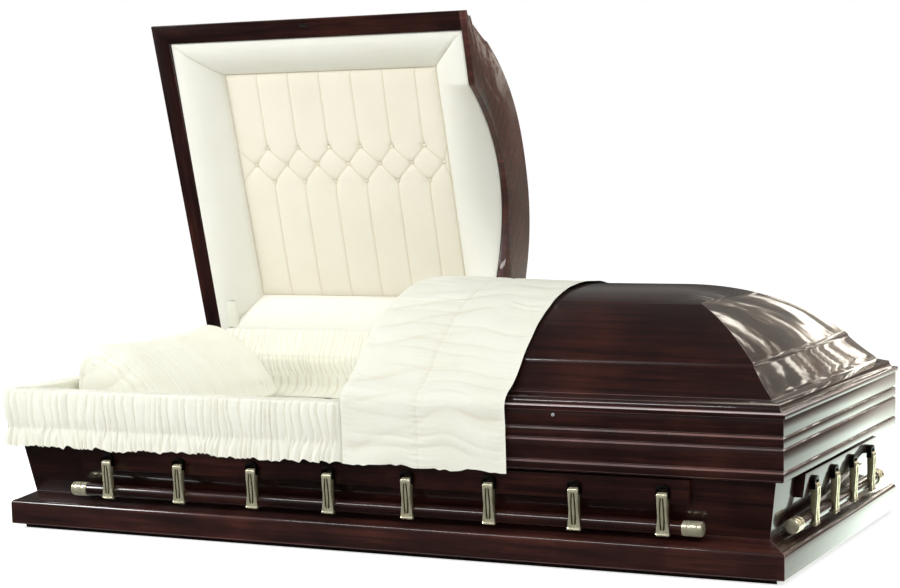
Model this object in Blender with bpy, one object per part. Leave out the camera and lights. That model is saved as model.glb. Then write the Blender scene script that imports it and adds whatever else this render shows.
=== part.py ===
"""Half-couch hardwood casket with its head lid open: plinth, hollow body, domed lids, swing-bar handles
and sewn interior. Metres; +X runs to the foot end, -Y is the front, +Z is up, and the origin is the
middle of the underside."""

import math

import bmesh
import bpy
from mathutils import Matrix

GAP = 0.0003  # between pieces that touch

# Overall, over the base moulding
LENGTH = 2.04
WIDTH = 0.932

# Base
FOOT_BOARD_INSET = 0.025
FOOT_BOARD_THICK = 0.012
BASE_FRAME_WIDE = 0.090
FASCIA_HIGH = 0.052
BEAD_IN = 0.009
BEAD_HIGH = 0.0095
BASE_SLOPE_HIGH = 0.0176

# Body
BODY_INSET = 0.0464
WALL = 0.020
FLOOR = 0.016
FLARE_HIGH = 0.1308
FLARE_OUT = 0.0208
BAND_HIGH = 0.1375
BAND_THICK = 0.025
BAND_CHAMFER = 0.004
GROOVE_HEIGHTS = (0.0232, 0.0728, 0.0978)  # middle of each groove above the band's lower edge
GROOVE_WIDE = 0.008
GROOVE_DEEP = 0.004
REBATE = 0.010  # the head half's rim stands this much lower, to leave room for the skirt

# Lids
RIM_OVERHANG = 0.005
HEAD_LID_END = -0.048
FOOT_LID_END = -0.030
LID_SHELL = 0.018
RIM_BOARD_WIDE = 0.050
RIM_BOARD_THICK = 0.026
RIB_THICK = 0.018
RIB_FOOT = 0.195  # the flat at each end of a rib's lower edge
RIB_ARCH = 0.112
LID_OPEN = 75.4  # degrees, also the lids' range
NOSE_HIGH = 0.012
NOSE_ROUND = 0.003
COVE_START = 0.008
COVE_IN = 0.018
COVE_HIGH = 0.0265
LEDGE_IN = 0.043
LEDGE_HIGH = 0.034
STEP_IN = 0.047
STEP_HIGH = 0.0405
SLOPE_IN = 0.099
SLOPE_HIGH = 0.0945
SLOPE_HOLLOW = 0.002
CROWN_IN = 0.103
CROWN_HIGH = 0.104
CROWN_RISE = 0.141
CROWN_FULLNESS = 2.35
CROWN_STEPS = 9

# Hinges on the back
HINGE_BEHIND = 0.012
HINGE_UP = 0.010
KNUCKLE_RADIUS = 0.005
KNUCKLES = 5
HINGE_END_MARGIN = 0.060
LEAF_THICK = 0.0015
LEAF_HIGH = 0.035

# Lock pin under the foot lid, and catch in the head lid
PIN_RADIUS = 0.004
PIN_OUT = 0.0045
PIN_X = 0.491
PIN_BELOW = 0.0104
CATCH_X = -0.536
CATCH_IN = 0.016
CATCH_LONG = 0.022
CATCH_WIDE = 0.009
CATCH_THICK = 0.002

# Handles
BOARD_THICK = 0.022
BOARD_LOW = 0.0709  # above the base
BOARD_HIGH = 0.055
SIDE_BOARD_HALF = 0.807
END_BOARD_HALF = 0.295
BOARD_SLANT = 0.006
PIVOT_OUT = 0.007
PIVOT_UP = 0.0919  # above the base
BAR_IN = 0.015
BAR_DOWN = 0.073
BAR_RADIUS = 0.0155
BAR_SIDES = 14
SIDE_BAR_HALF = SIDE_BOARD_HALF + 0.028
END_BAR_HALF = END_BOARD_HALF + 0.065
CAP_RADIUS = 0.0175
CAP_LONG = 0.047
CAP_DOME = 0.006
ARM_COUNT = {"side": 8, "end": 4}
ARM_MARGIN = {"side": 0.0755, "end": 0.0595}  # from a board's end to the nearest arm
ARM_SHIFT = {"side": 0.015, "end": 0.0}  # towards the foot end
ARM_TOP_WIDE = 0.025
ARM_WAIST_WIDE = 0.022
ARM_BOTTOM_WIDE = 0.031
ARM_BACK = 0.006
ARM_RIDGE = 0.002
SEAT_CLEARANCE = 0.0008
EAR_SIDE = 0.0027
EAR_OUT = 0.006
EAR_ROOM = 0.0128
EAR_CROWN = 0.009
EAR_DOWN = 0.008
EAR_SUNK = 0.003

# Cloth interior
MATTRESS_TOP = 0.250
MATTRESS_MARGIN = 0.005
LINING_THICK = 0.012
SKIRT_STAND_OFF = 0.0015
SKIRT_THICK = 0.009
SKIRT_PLEAT = 0.005
SKIRT_PITCH = 0.040
SKIRT_HEM = 0.216
SKIRT_GATHER = 0.262
SKIRT_END = -0.045
SKIRT_TUCK = 0.045
OVERLAY_CLEAR = 0.0015
OVERLAY_THICK = 0.008
OVERLAY_RIGHT = 0.385
OVERLAY_HEM = 0.212
OVERLAY_FOLD = 0.010
OVERLAY_TUCK = 0.045
OVERLAY_BACK_IN = 0.050
BORDER_CLEAR = 0.0018
BORDER_END_WIDE = 0.120
BORDER_FRONT_WIDE = 0.105
BORDER_BACK_WIDE = 0.082
BORDER_DEEP = 0.059
BORDER_START = 0.006
BORDER_PUFF = 0.016
BORDER_THICK = 0.014
PANEL_THICK = 0.012
PANEL_PUFF = 0.008
PILLOW_LONG = 0.640
PILLOW_WIDE = 0.300
PILLOW_HEAD_SEAM = 0.432
PILLOW_FOOT_SEAM = 0.292
PILLOW_THICK = 0.120
STAY_COVER_WIDE = 0.038
STAY_COVER_THICK = 0.012
STAY_COVER_IN = 0.026
STAY_COVER_START = 0.008
STAY_COVER_LONG = 0.078

HALF_X = LENGTH / 2
HALF_Y = WIDTH / 2
BASE_TOP = FOOT_BOARD_THICK + FASCIA_HIGH + BEAD_HIGH + BASE_SLOPE_HIGH
BODY_X = HALF_X - BODY_INSET
BODY_Y = HALF_Y - BODY_INSET
FLARE_TOP = BASE_TOP + FLARE_HIGH
JOINT_Z = FLARE_TOP + BAND_HIGH
BAND_GROW = FLARE_OUT + BAND_THICK
LID_X = BODY_X + BAND_GROW + RIM_OVERHANG
LID_Y = BODY_Y + BAND_GROW + RIM_OVERHANG
HINGE_Y = LID_Y + HINGE_BEHIND
HINGE_Z = JOINT_Z + HINGE_UP
PIVOT_Z = BASE_TOP + PIVOT_UP


def clear_scene():
    for obj in list(bpy.data.objects):
        bpy.data.objects.remove(obj, do_unlink=True)


def material(name, color, roughness, metallic=0.0, coat=0.0):
    made = bpy.data.materials.new(name)
    made.use_nodes = True
    shader = made.node_tree.nodes["Principled BSDF"]
    shader.inputs["Base Color"].default_value = (*color, 1.0)
    shader.inputs["Roughness"].default_value = roughness
    shader.inputs["Metallic"].default_value = metallic
    shader.inputs["Coat Weight"].default_value = coat
    made.diffuse_color = (*color, 1.0)
    return made


clear_scene()
MAHOGANY = material("mahogany", (0.055, 0.010, 0.008), 0.25, coat=1.0)
BRASS = material("antique_brass", (0.40, 0.33, 0.22), 0.35, metallic=1.0)
STEEL = material("steel", (0.55, 0.55, 0.53), 0.35, metallic=1.0)
IVORY = material("ivory_cloth", (0.84, 0.80, 0.70), 0.85)
TUFTED = material("tufted_cloth", (0.84, 0.78, 0.62), 0.85)


def add_object(name, bm, finish, smooth=False):
    """A mesh object from a bmesh, with coinciding points merged and every face pointing out."""
    bmesh.ops.remove_doubles(bm, verts=bm.verts, dist=1e-6)
    bmesh.ops.recalc_face_normals(bm, faces=bm.faces)
    if bm.calc_volume(signed=True) < 0:
        bmesh.ops.reverse_faces(bm, faces=bm.faces)
    mesh = bpy.data.meshes.new(name)
    bm.to_mesh(mesh)
    bm.free()
    if smooth:
        mesh.shade_smooth()
        mesh.set_sharp_from_angle(angle=math.radians(35))
    obj = bpy.data.objects.new(name, mesh)
    if finish:
        mesh.materials.append(finish)
    bpy.context.scene.collection.objects.link(obj)
    return obj


def strip(bm, rows, around):
    """Faces between neighbouring rows of points. around joins each row's last point to its first."""
    made = [[bm.verts.new(point) for point in row] for row in rows]
    last = len(rows[0]) if around else len(rows[0]) - 1
    for low, high in zip(made, made[1:]):
        for i in range(last):
            j = (i + 1) % len(low)
            bm.faces.new((low[i], low[j], high[j], high[i]))
    return made


def sections(name, rows, finish, smooth=False):
    """A solid through closed sections, capped at both ends."""
    bm = bmesh.new()
    made = strip(bm, rows, True)
    bm.faces.new(reversed(made[0]))
    bm.faces.new(made[-1])
    return add_object(name, bm, finish, smooth)


def rectangle(half_x, half_y, z):
    return [(-half_x, -half_y, z), (half_x, -half_y, z), (half_x, half_y, z), (-half_x, half_y, z)]


def mitred_frame(name, profile, finish):
    """A closed profile of (x half, y half, z) swept round a rectangle, mitred at the corners."""
    bm = bmesh.new()
    strip(bm, [rectangle(*point) for point in profile + profile[:1]], True)
    return add_object(name, bm, finish)


def box(name, low, high, finish):
    return sections(name, [[(x, low[1], low[2]), (x, high[1], low[2]), (x, high[1], high[2]),
                            (x, low[1], high[2])] for x in (low[0], high[0])], finish)


def modify(obj, tool, operation):
    """Cuts or joins a helper object, which stays hidden."""
    tool.hide_render = True
    tool.display_type = "WIRE"
    boolean = obj.modifiers.new(operation.lower(), "BOOLEAN")
    boolean.operation = operation
    boolean.solver = "EXACT"
    boolean.object = tool


def wall_out(z):
    """How far the body's outer face stands out at this height, past its lowest edge."""
    share = min(max((z - BASE_TOP) / FLARE_HIGH, 0.0), 1.0)
    return FLARE_OUT * share


def base():
    box("base_foot", (FOOT_BOARD_INSET - HALF_X, FOOT_BOARD_INSET - HALF_Y, 0.0),
        (HALF_X - FOOT_BOARD_INSET, HALF_Y - FOOT_BOARD_INSET, FOOT_BOARD_THICK), MAHOGANY)
    low = FOOT_BOARD_THICK + GAP
    fascia = FOOT_BOARD_THICK + FASCIA_HIGH
    profile = [(0.0, low), (0.0, fascia)]
    for degrees in (30, 60, 90):
        turn = math.radians(degrees)
        profile.append((BEAD_IN * (1 - math.cos(turn)), fascia + BEAD_HIGH * math.sin(turn)))
    profile += [(BODY_INSET, BASE_TOP), (BASE_FRAME_WIDE, BASE_TOP), (BASE_FRAME_WIDE, low)]
    mitred_frame("base_moulding", [(HALF_X - inset, HALF_Y - inset, z) for inset, z in profile], MAHOGANY)


def rebate_cutter(name):
    """The space over the head half's rim that is cut away."""
    reach = RIM_OVERHANG
    return box(name, (-LID_X - reach, -LID_Y - reach, JOINT_Z - REBATE),
               (SKIRT_END + SKIRT_STAND_OFF, LID_Y + reach, JOINT_Z + reach), None)


def body():
    low = BASE_TOP + GAP
    top = JOINT_Z - GAP
    floor = low + FLOOR
    profile = [(0.0, low), (FLARE_OUT, FLARE_TOP), (FLARE_OUT, top), (FLARE_OUT - WALL, top),
               (FLARE_OUT - WALL, FLARE_TOP), (wall_out(floor) - WALL, floor)]
    shell = sections("body_shell", [rectangle(BODY_X + grow, BODY_Y + grow, z) for grow, z in profile], MAHOGANY)
    modify(shell, rebate_cutter("rebate_in_shell"), "DIFFERENCE")
    inner = FLARE_OUT + GAP
    lowest = FLARE_TOP + GAP
    profile = [(inner, lowest), (BAND_GROW - BAND_CHAMFER, lowest), (BAND_GROW, lowest + BAND_CHAMFER)]
    for height in GROOVE_HEIGHTS:
        middle = FLARE_TOP + height
        profile += [(BAND_GROW, middle - GROOVE_WIDE / 2), (BAND_GROW - GROOVE_DEEP, middle),
                    (BAND_GROW, middle + GROOVE_WIDE / 2)]
    profile += [(BAND_GROW, top), (inner, top)]
    band = mitred_frame("body_band", [(BODY_X + grow, BODY_Y + grow, z) for grow, z in profile], MAHOGANY)
    modify(band, rebate_cutter("rebate_in_band"), "DIFFERENCE")


def crown_height(inset):
    """Height of the dome over the rim plane, this far in from the lid's edge."""
    along = (inset - CROWN_IN) / (LID_Y - CROWN_IN)
    return CROWN_HIGH + CROWN_RISE * (1 - (1 - along) ** CROWN_FULLNESS)


def crown_insets():
    """Insets of the dome's section, closer together low down where it bends more."""
    shares = [(step / CROWN_STEPS) ** 1.3 for step in range(CROWN_STEPS + 1)]
    return [CROWN_IN + (LID_Y - CROWN_IN) * share for share in shares]


def lid_outer():
    """The lid's moulded edge and dome as (inset, height), from the rim's lower edge to the ridge."""
    points = [(0.0, 0.0), (0.0, NOSE_HIGH - NOSE_ROUND), (NOSE_ROUND, NOSE_HIGH)]
    for degrees in (0, 45, 90):
        turn = math.radians(degrees)
        points.append((COVE_START + (COVE_IN - COVE_START) * math.sin(turn),
                       COVE_HIGH - (COVE_HIGH - NOSE_HIGH) * math.cos(turn)))
    points += [(LEDGE_IN, LEDGE_HIGH), (STEP_IN, STEP_HIGH)]
    middle = ((STEP_IN + SLOPE_IN) / 2, (STEP_HIGH + SLOPE_HIGH) / 2 - SLOPE_HOLLOW)
    points += [middle, (SLOPE_IN, SLOPE_HIGH)]
    return points + [(inset, crown_height(inset)) for inset in crown_insets()]


def lid_inner():
    """The hollow inside the lid as (inset, height), from the rim board's inner edge to the ridge."""
    points = [(RIM_BOARD_WIDE, 0.0), (RIM_BOARD_WIDE, RIM_BOARD_THICK)]
    return points + [(inset, crown_height(inset) - LID_SHELL) for inset in crown_insets()[1:]]


def lid_shell(name, toward, end):
    """A hollow lid, hipped at its outer end and cut flat at end. toward is -1 for head, 1 for foot."""
    bm = bmesh.new()
    faces = []
    for points in (lid_outer(), lid_inner()):
        rows = []
        for inset, height in points:
            x = toward * (LID_X - inset)
            y = LID_Y - inset
            z = JOINT_Z + height
            rows.append([(end, -y, z), (x, -y, z), (x, y, z), (end, y, z)])
        faces.append(strip(bm, rows, False))
    outer, inner = faces
    for i in range(3):
        bm.faces.new((outer[0][i], outer[0][i + 1], inner[0][i + 1], inner[0][i]))
    edge = [row[0] for row in outer] + [row[3] for row in reversed(outer[:-1])]
    edge += [row[3] for row in inner[:-1]] + [row[0] for row in reversed(inner)]
    bm.faces.new(edge)
    return add_object(name, bm, MAHOGANY)


def arch_height(y):
    """How far a rib's lower edge rises over the rim plane, this far from the middle."""
    half = LID_Y - RIB_FOOT
    return RIB_ARCH * max(1 - (y / half) ** 2, 0.0)


def arch_places():
    """Places across a rib's arch, from front to back."""
    return [(LID_Y - RIB_FOOT) * (step / 5 - 1) for step in range(11)]


def lid_rib(name, start):
    """The board that closes a lid's middle end: the lid's own outline, arched below."""
    front = [(inset - LID_Y, JOINT_Z + height) for inset, height in lid_outer()]
    outline = front + [(-y, z) for y, z in reversed(front[:-1])]
    outline += [(y, JOINT_Z + arch_height(y)) for y in reversed(arch_places())]
    return sections(name, [[(x, y, z) for y, z in outline] for x in (start, start + RIB_THICK)], MAHOGANY)


def hinge_frame(name, location, axis, degrees=0.0):
    """An empty on a joint's axis, which the moving pieces hang on, turned from their modelled place."""
    empty = bpy.data.objects.new(name, None)
    empty.location = location
    bpy.context.scene.collection.objects.link(empty)
    empty.rotation_mode = "AXIS_ANGLE"
    empty.rotation_axis_angle = (math.radians(degrees), *axis)
    return empty


def hang(empty, pieces):
    """Parents pieces that are modelled where they lie while the joint is closed."""
    for piece in pieces:
        piece.parent = empty
        piece.matrix_parent_inverse = Matrix.Translation(empty.location).inverted()


def knuckles(name, low_x, high_x, first, root):
    """Every second knuckle of a hinge, each with the tab that joins it to its leaf at root (y, z)."""
    pitch = (high_x - low_x) / KNUCKLES
    bm = bmesh.new()
    away = math.atan2(root[1] - HINGE_Z, root[0] - HINGE_Y)
    outline = []
    for step in range(10):
        turn = away + math.radians(30 + 300 * step / 9)
        outline.append((HINGE_Y + KNUCKLE_RADIUS * math.cos(turn), HINGE_Z + KNUCKLE_RADIUS * math.sin(turn)))
    side = (-math.sin(away) * LEAF_THICK / 2, math.cos(away) * LEAF_THICK / 2)
    outline += [(root[0] - side[0], root[1] - side[1]), (root[0] + side[0], root[1] + side[1])]
    for index in range(first, KNUCKLES, 2):
        ends = (low_x + index * pitch + GAP, low_x + (index + 1) * pitch - GAP)
        rows = strip(bm, [[(x, y, z) for y, z in outline] for x in ends], True)
        bm.faces.new(reversed(rows[0]))
        bm.faces.new(rows[1])
    return add_object(name, bm, None)


def hinge(lid_name, low_x, high_x):
    """A long hinge: one leaf on the band's back, one on the back of the lid's rim."""
    face = BODY_Y + BAND_GROW + GAP
    top = JOINT_Z - REBATE
    fixed = box(f"hinge_{lid_name}_body", (low_x, face, top - LEAF_HIGH), (high_x, face + LEAF_THICK, top), STEEL)
    modify(fixed, knuckles(f"knuckles_{lid_name}_body", low_x, high_x, 0,
                           (face + LEAF_THICK / 2, top - LEAF_THICK)), "UNION")
    face = LID_Y + GAP
    low = JOINT_Z + GAP
    high = JOINT_Z + NOSE_HIGH - NOSE_ROUND
    moving = box(f"hinge_{lid_name}_lid", (low_x, face, low), (high_x, face + LEAF_THICK, high), STEEL)
    modify(moving, knuckles(f"knuckles_{lid_name}_lid", low_x, high_x, 1,
                            (face + LEAF_THICK / 2, (low + high) / 2)), "UNION")
    return moving


def catch(lid_obj):
    """A plate let in flush with the underside of the head lid's front rim."""
    middle = (CATCH_X, CATCH_IN - LID_Y)
    half = (CATCH_LONG / 2, CATCH_WIDE / 2)
    low = (middle[0] - half[0], middle[1] - half[1], JOINT_Z)
    high = (middle[0] + half[0], middle[1] + half[1], JOINT_Z + CATCH_THICK)
    plate = box("catch_head", low, high, STEEL)
    pocket = box("catch_pocket", (low[0] - GAP, low[1] - GAP, low[2] - CATCH_THICK),
                 (high[0] + GAP, high[1] + GAP, high[2] + GAP), None)
    modify(lid_obj, pocket, "DIFFERENCE")
    return [plate, pocket]


def lock_pin():
    bm = bmesh.new()
    face = -(BODY_Y + BAND_GROW) - GAP
    z = JOINT_Z - PIN_BELOW
    rows = []
    for out, share in ((0.0, 1.0), (PIN_OUT * 0.7, 1.0), (PIN_OUT, 0.6)):
        rows.append([(PIN_X + PIN_RADIUS * share * math.cos(math.radians(turn)), face - out,
                      z + PIN_RADIUS * share * math.sin(math.radians(turn))) for turn in range(0, 360, 36)])
    made = strip(bm, rows, True)
    bm.faces.new(reversed(made[0]))
    bm.faces.new(made[-1])
    add_object("pin_foot", bm, STEEL, smooth=True)


def turned_bar(half):
    """A round bar along X with a wider, domed metal cap on each end."""
    profile = [(half - CAP_LONG, BAR_RADIUS), (half - CAP_LONG, CAP_RADIUS), (half - CAP_DOME, CAP_RADIUS),
               (half - CAP_DOME * 0.3, CAP_RADIUS * 0.7), (half, CAP_RADIUS * 0.25)]
    profile = [(-x, r) for x, r in reversed(profile)] + profile
    turns = [2 * math.pi * i / BAR_SIDES for i in range(BAR_SIDES)]
    bm = bmesh.new()
    made = strip(bm, [[(x, r * math.cos(t), r * math.sin(t)) for t in turns] for x, r in profile], True)
    bm.faces.new(reversed(made[0]))
    bm.faces.new(made[-1])
    return bm


def arm_mesh():
    """One cast arm about its pivot, its front to -Y. Its back is hollowed to seat on the bar."""
    seat = BAR_RADIUS + SEAT_CLEARANCE
    reach = math.sqrt(seat ** 2 - (BAR_IN - ARM_BACK) ** 2)
    stations = [(0.006, -0.001, 0.006, 0.8), (0.003, ARM_BACK * 0.85, 0.0095, 1.0), (-0.018, ARM_BACK, 0.0105, 1.0)]
    stations += [(-0.043, ARM_BACK, 0.0085, ARM_WAIST_WIDE / ARM_TOP_WIDE)]
    bottom = ARM_BOTTOM_WIDE / ARM_TOP_WIDE
    for turn, front, wide in ((1.0, 0.0075, 0.96), (0.45, 0.006, 1.08), (0.0, 0.0055, 1.16), (-0.45, 0.006, 1.2)):
        up = reach * turn
        back = BAR_IN - math.sqrt(seat ** 2 - up ** 2)
        stations.append((up - BAR_DOWN, back, front, wide))
    stations.append((-reach - BAR_DOWN, ARM_BACK, 0.0065, bottom))
    stations.append((-reach - BAR_DOWN - 0.0022, 0.001, 0.004, bottom * 0.92))
    rows = []
    for z, back, front, wide in stations:
        half = wide * ARM_TOP_WIDE / 2
        rows.append([(-half, back, z), (-half, -front, z), (0.0, -front - ARM_RIDGE, z), (half, -front, z),
                     (half, back, z)])
    return rows


def ears(name, places, out, toward):
    """The lugs that carry the arms, as one helper: each a cheek on both sides of an arm and a crown over it."""
    inner = ARM_TOP_WIDE / 2 + GAP
    outer = inner + EAR_SIDE
    crown = EAR_ROOM + EAR_CROWN
    outline = [(-outer, -EAR_DOWN), (-inner, -EAR_DOWN), (-inner, EAR_ROOM), (inner, EAR_ROOM), (inner, -EAR_DOWN),
               (outer, -EAR_DOWN), (outer, EAR_ROOM), (outer * 0.55, crown - 0.002), (0.0, crown),
               (-outer * 0.55, crown - 0.002), (-outer, EAR_ROOM)]
    bm = bmesh.new()
    for place in places:
        rows = [[(place + x, -out - depth, PIVOT_Z + z) for x, z in outline]
                for depth in (-PIVOT_OUT - EAR_SUNK, EAR_OUT)]
        made = strip(bm, rows, True)
        bm.faces.new(reversed(made[0]))
        bm.faces.new(made[1])
    tool = add_object(name, bm, None)
    tool.rotation_euler.z = toward
    return tool


def handle(side, kind, toward, body_half):
    """A board with its ears, a bar and its arms on one face. toward turns them from the front."""
    out = body_half + wall_out(PIVOT_Z) + BOARD_THICK + PIVOT_OUT
    board_half = SIDE_BOARD_HALF if kind == "side" else END_BOARD_HALF
    low = BASE_TOP + BOARD_LOW
    rows = []
    for end in (-1, 1):
        row = []
        for z, face in ((low, GAP), (low, BOARD_THICK), (low + BOARD_HIGH, BOARD_THICK), (low + BOARD_HIGH, GAP)):
            x = end * (board_half - (BOARD_SLANT if z == low else 0.0))
            row.append((x, -body_half - wall_out(z) - face, z))
        rows.append(row)
    board = sections(f"handle_board_{side}", rows, MAHOGANY)
    board.rotation_euler.z = toward
    count = ARM_COUNT[kind]
    shift = ARM_SHIFT[kind] * math.cos(toward)
    reach = board_half - ARM_MARGIN[kind]
    places = [reach * (2 * i / (count - 1) - 1) + shift for i in range(count)]
    modify(board, ears(f"ears_{side}", places, out, toward), "UNION")
    turn = Matrix.Rotation(toward, 4, "Z")
    pivot = hinge_frame(f"{side}_bar_hinge", turn @ Matrix.Translation((0.0, -out, PIVOT_Z)).translation, (1, 0, 0))
    bar_half = SIDE_BAR_HALF if kind == "side" else END_BAR_HALF
    bar = add_object(f"bar_{side}", turned_bar(bar_half), MAHOGANY, smooth=True)
    bar.parent = pivot
    bar.location = turn @ Matrix.Translation((0.0, BAR_IN, -BAR_DOWN)).translation
    bar.rotation_euler.z = toward
    first = sections(f"arm_{side}_1", arm_mesh(), BRASS)
    order = places if math.cos(toward) > -0.5 else places[::-1]
    for index, place in enumerate(order):
        arm = first if index == 0 else bpy.data.objects.new(f"arm_{side}_{index + 1}", first.data)
        if index:
            bpy.context.scene.collection.objects.link(arm)
        arm.parent = pivot
        arm.location = turn @ Matrix.Translation((place, 0.0, 0.0)).translation
        arm.rotation_euler.z = toward


def soft_box_limits(z):
    """Half sizes of the room inside the walls at this height."""
    grow = wall_out(z) - WALL
    return BODY_X + grow, BODY_Y + grow


def mattress():
    low = BASE_TOP + GAP + FLOOR + GAP
    half_x, half_y = soft_box_limits(low)
    half_x -= MATTRESS_MARGIN
    half_y -= MATTRESS_MARGIN
    soft = 0.012
    rows = [rectangle(half_x - soft, half_y - soft, low), rectangle(half_x, half_y, low + soft),
            rectangle(half_x, half_y, MATTRESS_TOP - soft), rectangle(half_x - soft, half_y - soft, MATTRESS_TOP)]
    sections("mattress", rows, IVORY)


def side_lining():
    """Cloth on the inside of the head half's walls, from the foot lid's end round to itself."""
    end = FOOT_LID_END
    rows = []
    for z in (MATTRESS_TOP + GAP, FLARE_TOP, JOINT_Z - SKIRT_TUCK - GAP * 8):
        wall_x, wall_y = soft_box_limits(z)
        for inset in (GAP, LINING_THICK):
            rows.append([(end, inset - wall_y, z), (inset - wall_x, inset - wall_y, z),
                         (inset - wall_x, wall_y - inset, z), (end, wall_y - inset, z)])
    order = (0, 2, 4, 5, 3, 1)
    sections("side_lining", [[rows[i][corner] for i in order] for corner in range(4)], IVORY)


def skirt():
    """Gathered cloth that lies over the head half's rim and hangs outside it, in front and at the head."""
    face_x = BODY_X + BAND_GROW
    face_y = BODY_Y + BAND_GROW
    wall = WALL + BAND_THICK + GAP
    top = JOINT_Z - GAP * 3
    under = JOINT_Z - REBATE + GAP
    tuck = JOINT_Z - SKIRT_TUCK
    thick = SKIRT_THICK

    def section(pleat, drop):
        near = SKIRT_STAND_OFF
        far = near + thick + pleat
        return [(near, SKIRT_HEM + drop), (far, SKIRT_HEM + drop), (far - 0.004, SKIRT_GATHER),
                (far, (SKIRT_GATHER + top) / 2), (far - 0.004, top - 0.008), (near + 0.003, top),
                (-wall - thick * 0.6, top), (-wall - thick * 0.6, tuck), (-wall, tuck), (-wall, under),
                (near, under)]

    front_length = face_x + SKIRT_END
    count = round(front_length / SKIRT_PITCH)
    rows = []
    for i in range(count):
        x = SKIRT_END - front_length * i / count
        wave = i % 2
        rows.append([(x, -face_y - out, z) for out, z in section(SKIRT_PLEAT * wave, 0.004 * wave)])
    rows.append([(-face_x - out, -face_y - out, z) for out, z in section(0.0, 0.0)])
    end_length = face_y * 2 - RIM_BOARD_WIDE
    count = round(end_length / SKIRT_PITCH)
    for i in range(1, count + 1):
        y = -face_y + end_length * i / count
        wave = i % 2
        rows.append([(-face_x - out, y, z) for out, z in section(SKIRT_PLEAT * wave, 0.004 * wave)])
    sections("skirt", rows, IVORY)


def overlay():
    """Cloth folded out over the foot lid: it hangs over the front and turns down over the lid's end."""
    path = [(0.0, OVERLAY_HEM - JOINT_Z, 0.0), (0.0, -RIM_OVERHANG, 0.0), (0.0, NOSE_HIGH, 0.15),
            (COVE_IN + 0.004, COVE_HIGH + 0.002, 0.5), (CROWN_IN - 0.002, CROWN_HIGH, 1.0)]
    path += [(inset, crown_height(inset), 1.0) for inset in crown_insets()[1:]]
    back = [(2 * LID_Y - inset, height, tuck) for inset, height, tuck in reversed(path[3:-1])]
    path += back[:-1] + [(2 * LID_Y - OVERLAY_BACK_IN, STEP_HIGH + 0.012, 0.8)]
    rows = []
    for i, (inset, height, tuck) in enumerate(path):
        before = path[max(i - 1, 0)]
        after = path[min(i + 1, len(path) - 1)]
        run = (after[0] - before[0], after[1] - before[1])
        size = math.hypot(*run)
        normal = (-run[1] / size, run[0] / size)

        def at(x, lift):
            return (x, inset - LID_Y + normal[0] * lift, JOINT_Z + height + normal[1] * lift)

        outer = OVERLAY_CLEAR + OVERLAY_THICK
        deep = OVERLAY_CLEAR - max(OVERLAY_TUCK * tuck, 0.001)
        left = FOOT_LID_END - OVERLAY_FOLD
        right = OVERLAY_RIGHT
        rows.append([at(left, outer), at(right, outer), at(right, OVERLAY_CLEAR),
                     at(FOOT_LID_END - GAP, OVERLAY_CLEAR), at(FOOT_LID_END - GAP, deep), at(left, deep)])
    return sections("overlay", rows, IVORY)


def lining_rectangle(share, further, height):
    """Corners of the head lid's lining: this share of the way from the rim board to the panel and further
    in than that, this far up into the lid."""
    end = BORDER_CLEAR + BORDER_END_WIDE * share + further
    low_x = -LID_X + RIM_BOARD_WIDE + end
    high_x = HEAD_LID_END - RIB_THICK - GAP - end
    edge = LID_Y - RIM_BOARD_WIDE - BORDER_CLEAR - further
    front = BORDER_FRONT_WIDE * share - edge
    back = edge - BORDER_BACK_WIDE * share
    z = JOINT_Z + height
    return [(low_x, front, z), (high_x, front, z), (high_x, back, z), (low_x, back, z)]


def border_row(share, height):
    """The same rectangle with its side at the rib drawn up into the arch, less so towards the panel."""
    corners = lining_rectangle(share, 0.0, height)
    x, _, z = corners[1]
    arch = [(x, y, z + arch_height(y) * (1 - share)) for y in arch_places()]
    return corners[:2] + arch + corners[2:]


def border_height(share):
    """How deep in the head lid the border's face lies, this share of the way to the panel."""
    return BORDER_START + BORDER_DEEP * share - BORDER_PUFF * math.sin(math.pi * share)


def lid_border():
    """Four puffed rolls, mitred at the corners, from the rim board down to the panel."""
    profile = [(step / 5, border_height(step / 5)) for step in range(6)]
    profile += [(1.0, BORDER_START + BORDER_DEEP + BORDER_THICK),
                (0.5, BORDER_START + BORDER_DEEP * 0.5 + BORDER_THICK * 2), (0.0, RIM_BOARD_THICK)]
    bm = bmesh.new()
    strip(bm, [border_row(*point) for point in profile + profile[:1]], True)
    return add_object("lid_border", bm, IVORY)


def lid_panel():
    """The tufted panel, crowned a little towards the inside of the lid."""
    near = GAP * 2
    face = BORDER_START + BORDER_DEEP
    rows = [(near, face + PANEL_THICK), (near, face + PANEL_PUFF * 0.5),
            (near + 0.02, face - PANEL_PUFF * 0.2), (near + 0.09, face - PANEL_PUFF)]
    return sections("lid_panel", [lining_rectangle(1.0, *row) for row in rows], TUFTED)


def back_apron():
    """Shirred cloth that covers the hinge, from inside the body's back wall to the open lid's rim board."""
    low_x = -BODY_X - FLARE_OUT + WALL + LINING_THICK + 0.010
    high_x = HEAD_LID_END - RIB_THICK
    wall_y = BODY_Y + FLARE_OUT - WALL
    turn = math.radians(LID_OPEN)
    rim = (LID_Y - RIM_BOARD_WIDE - HINGE_Y, JOINT_Z - HINGE_Z)
    rim_y = HINGE_Y + rim[0] * math.cos(turn) + rim[1] * math.sin(turn)
    rim_z = HINGE_Z - rim[0] * math.sin(turn) + rim[1] * math.cos(turn)
    thick = LINING_THICK / 2
    path = [(wall_y - thick - GAP, JOINT_Z - SKIRT_TUCK + GAP), (wall_y - thick - GAP, JOINT_Z - REBATE),
            (wall_y - thick, JOINT_Z + GAP), (rim_y - thick * 2, rim_z)]
    outline = [(y - thick, z) for y, z in path] + [(y + thick - GAP, z) for y, z in reversed(path)]
    sections("back_apron", [[(x, y, z) for y, z in outline] for x in (low_x, high_x)], IVORY)


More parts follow.
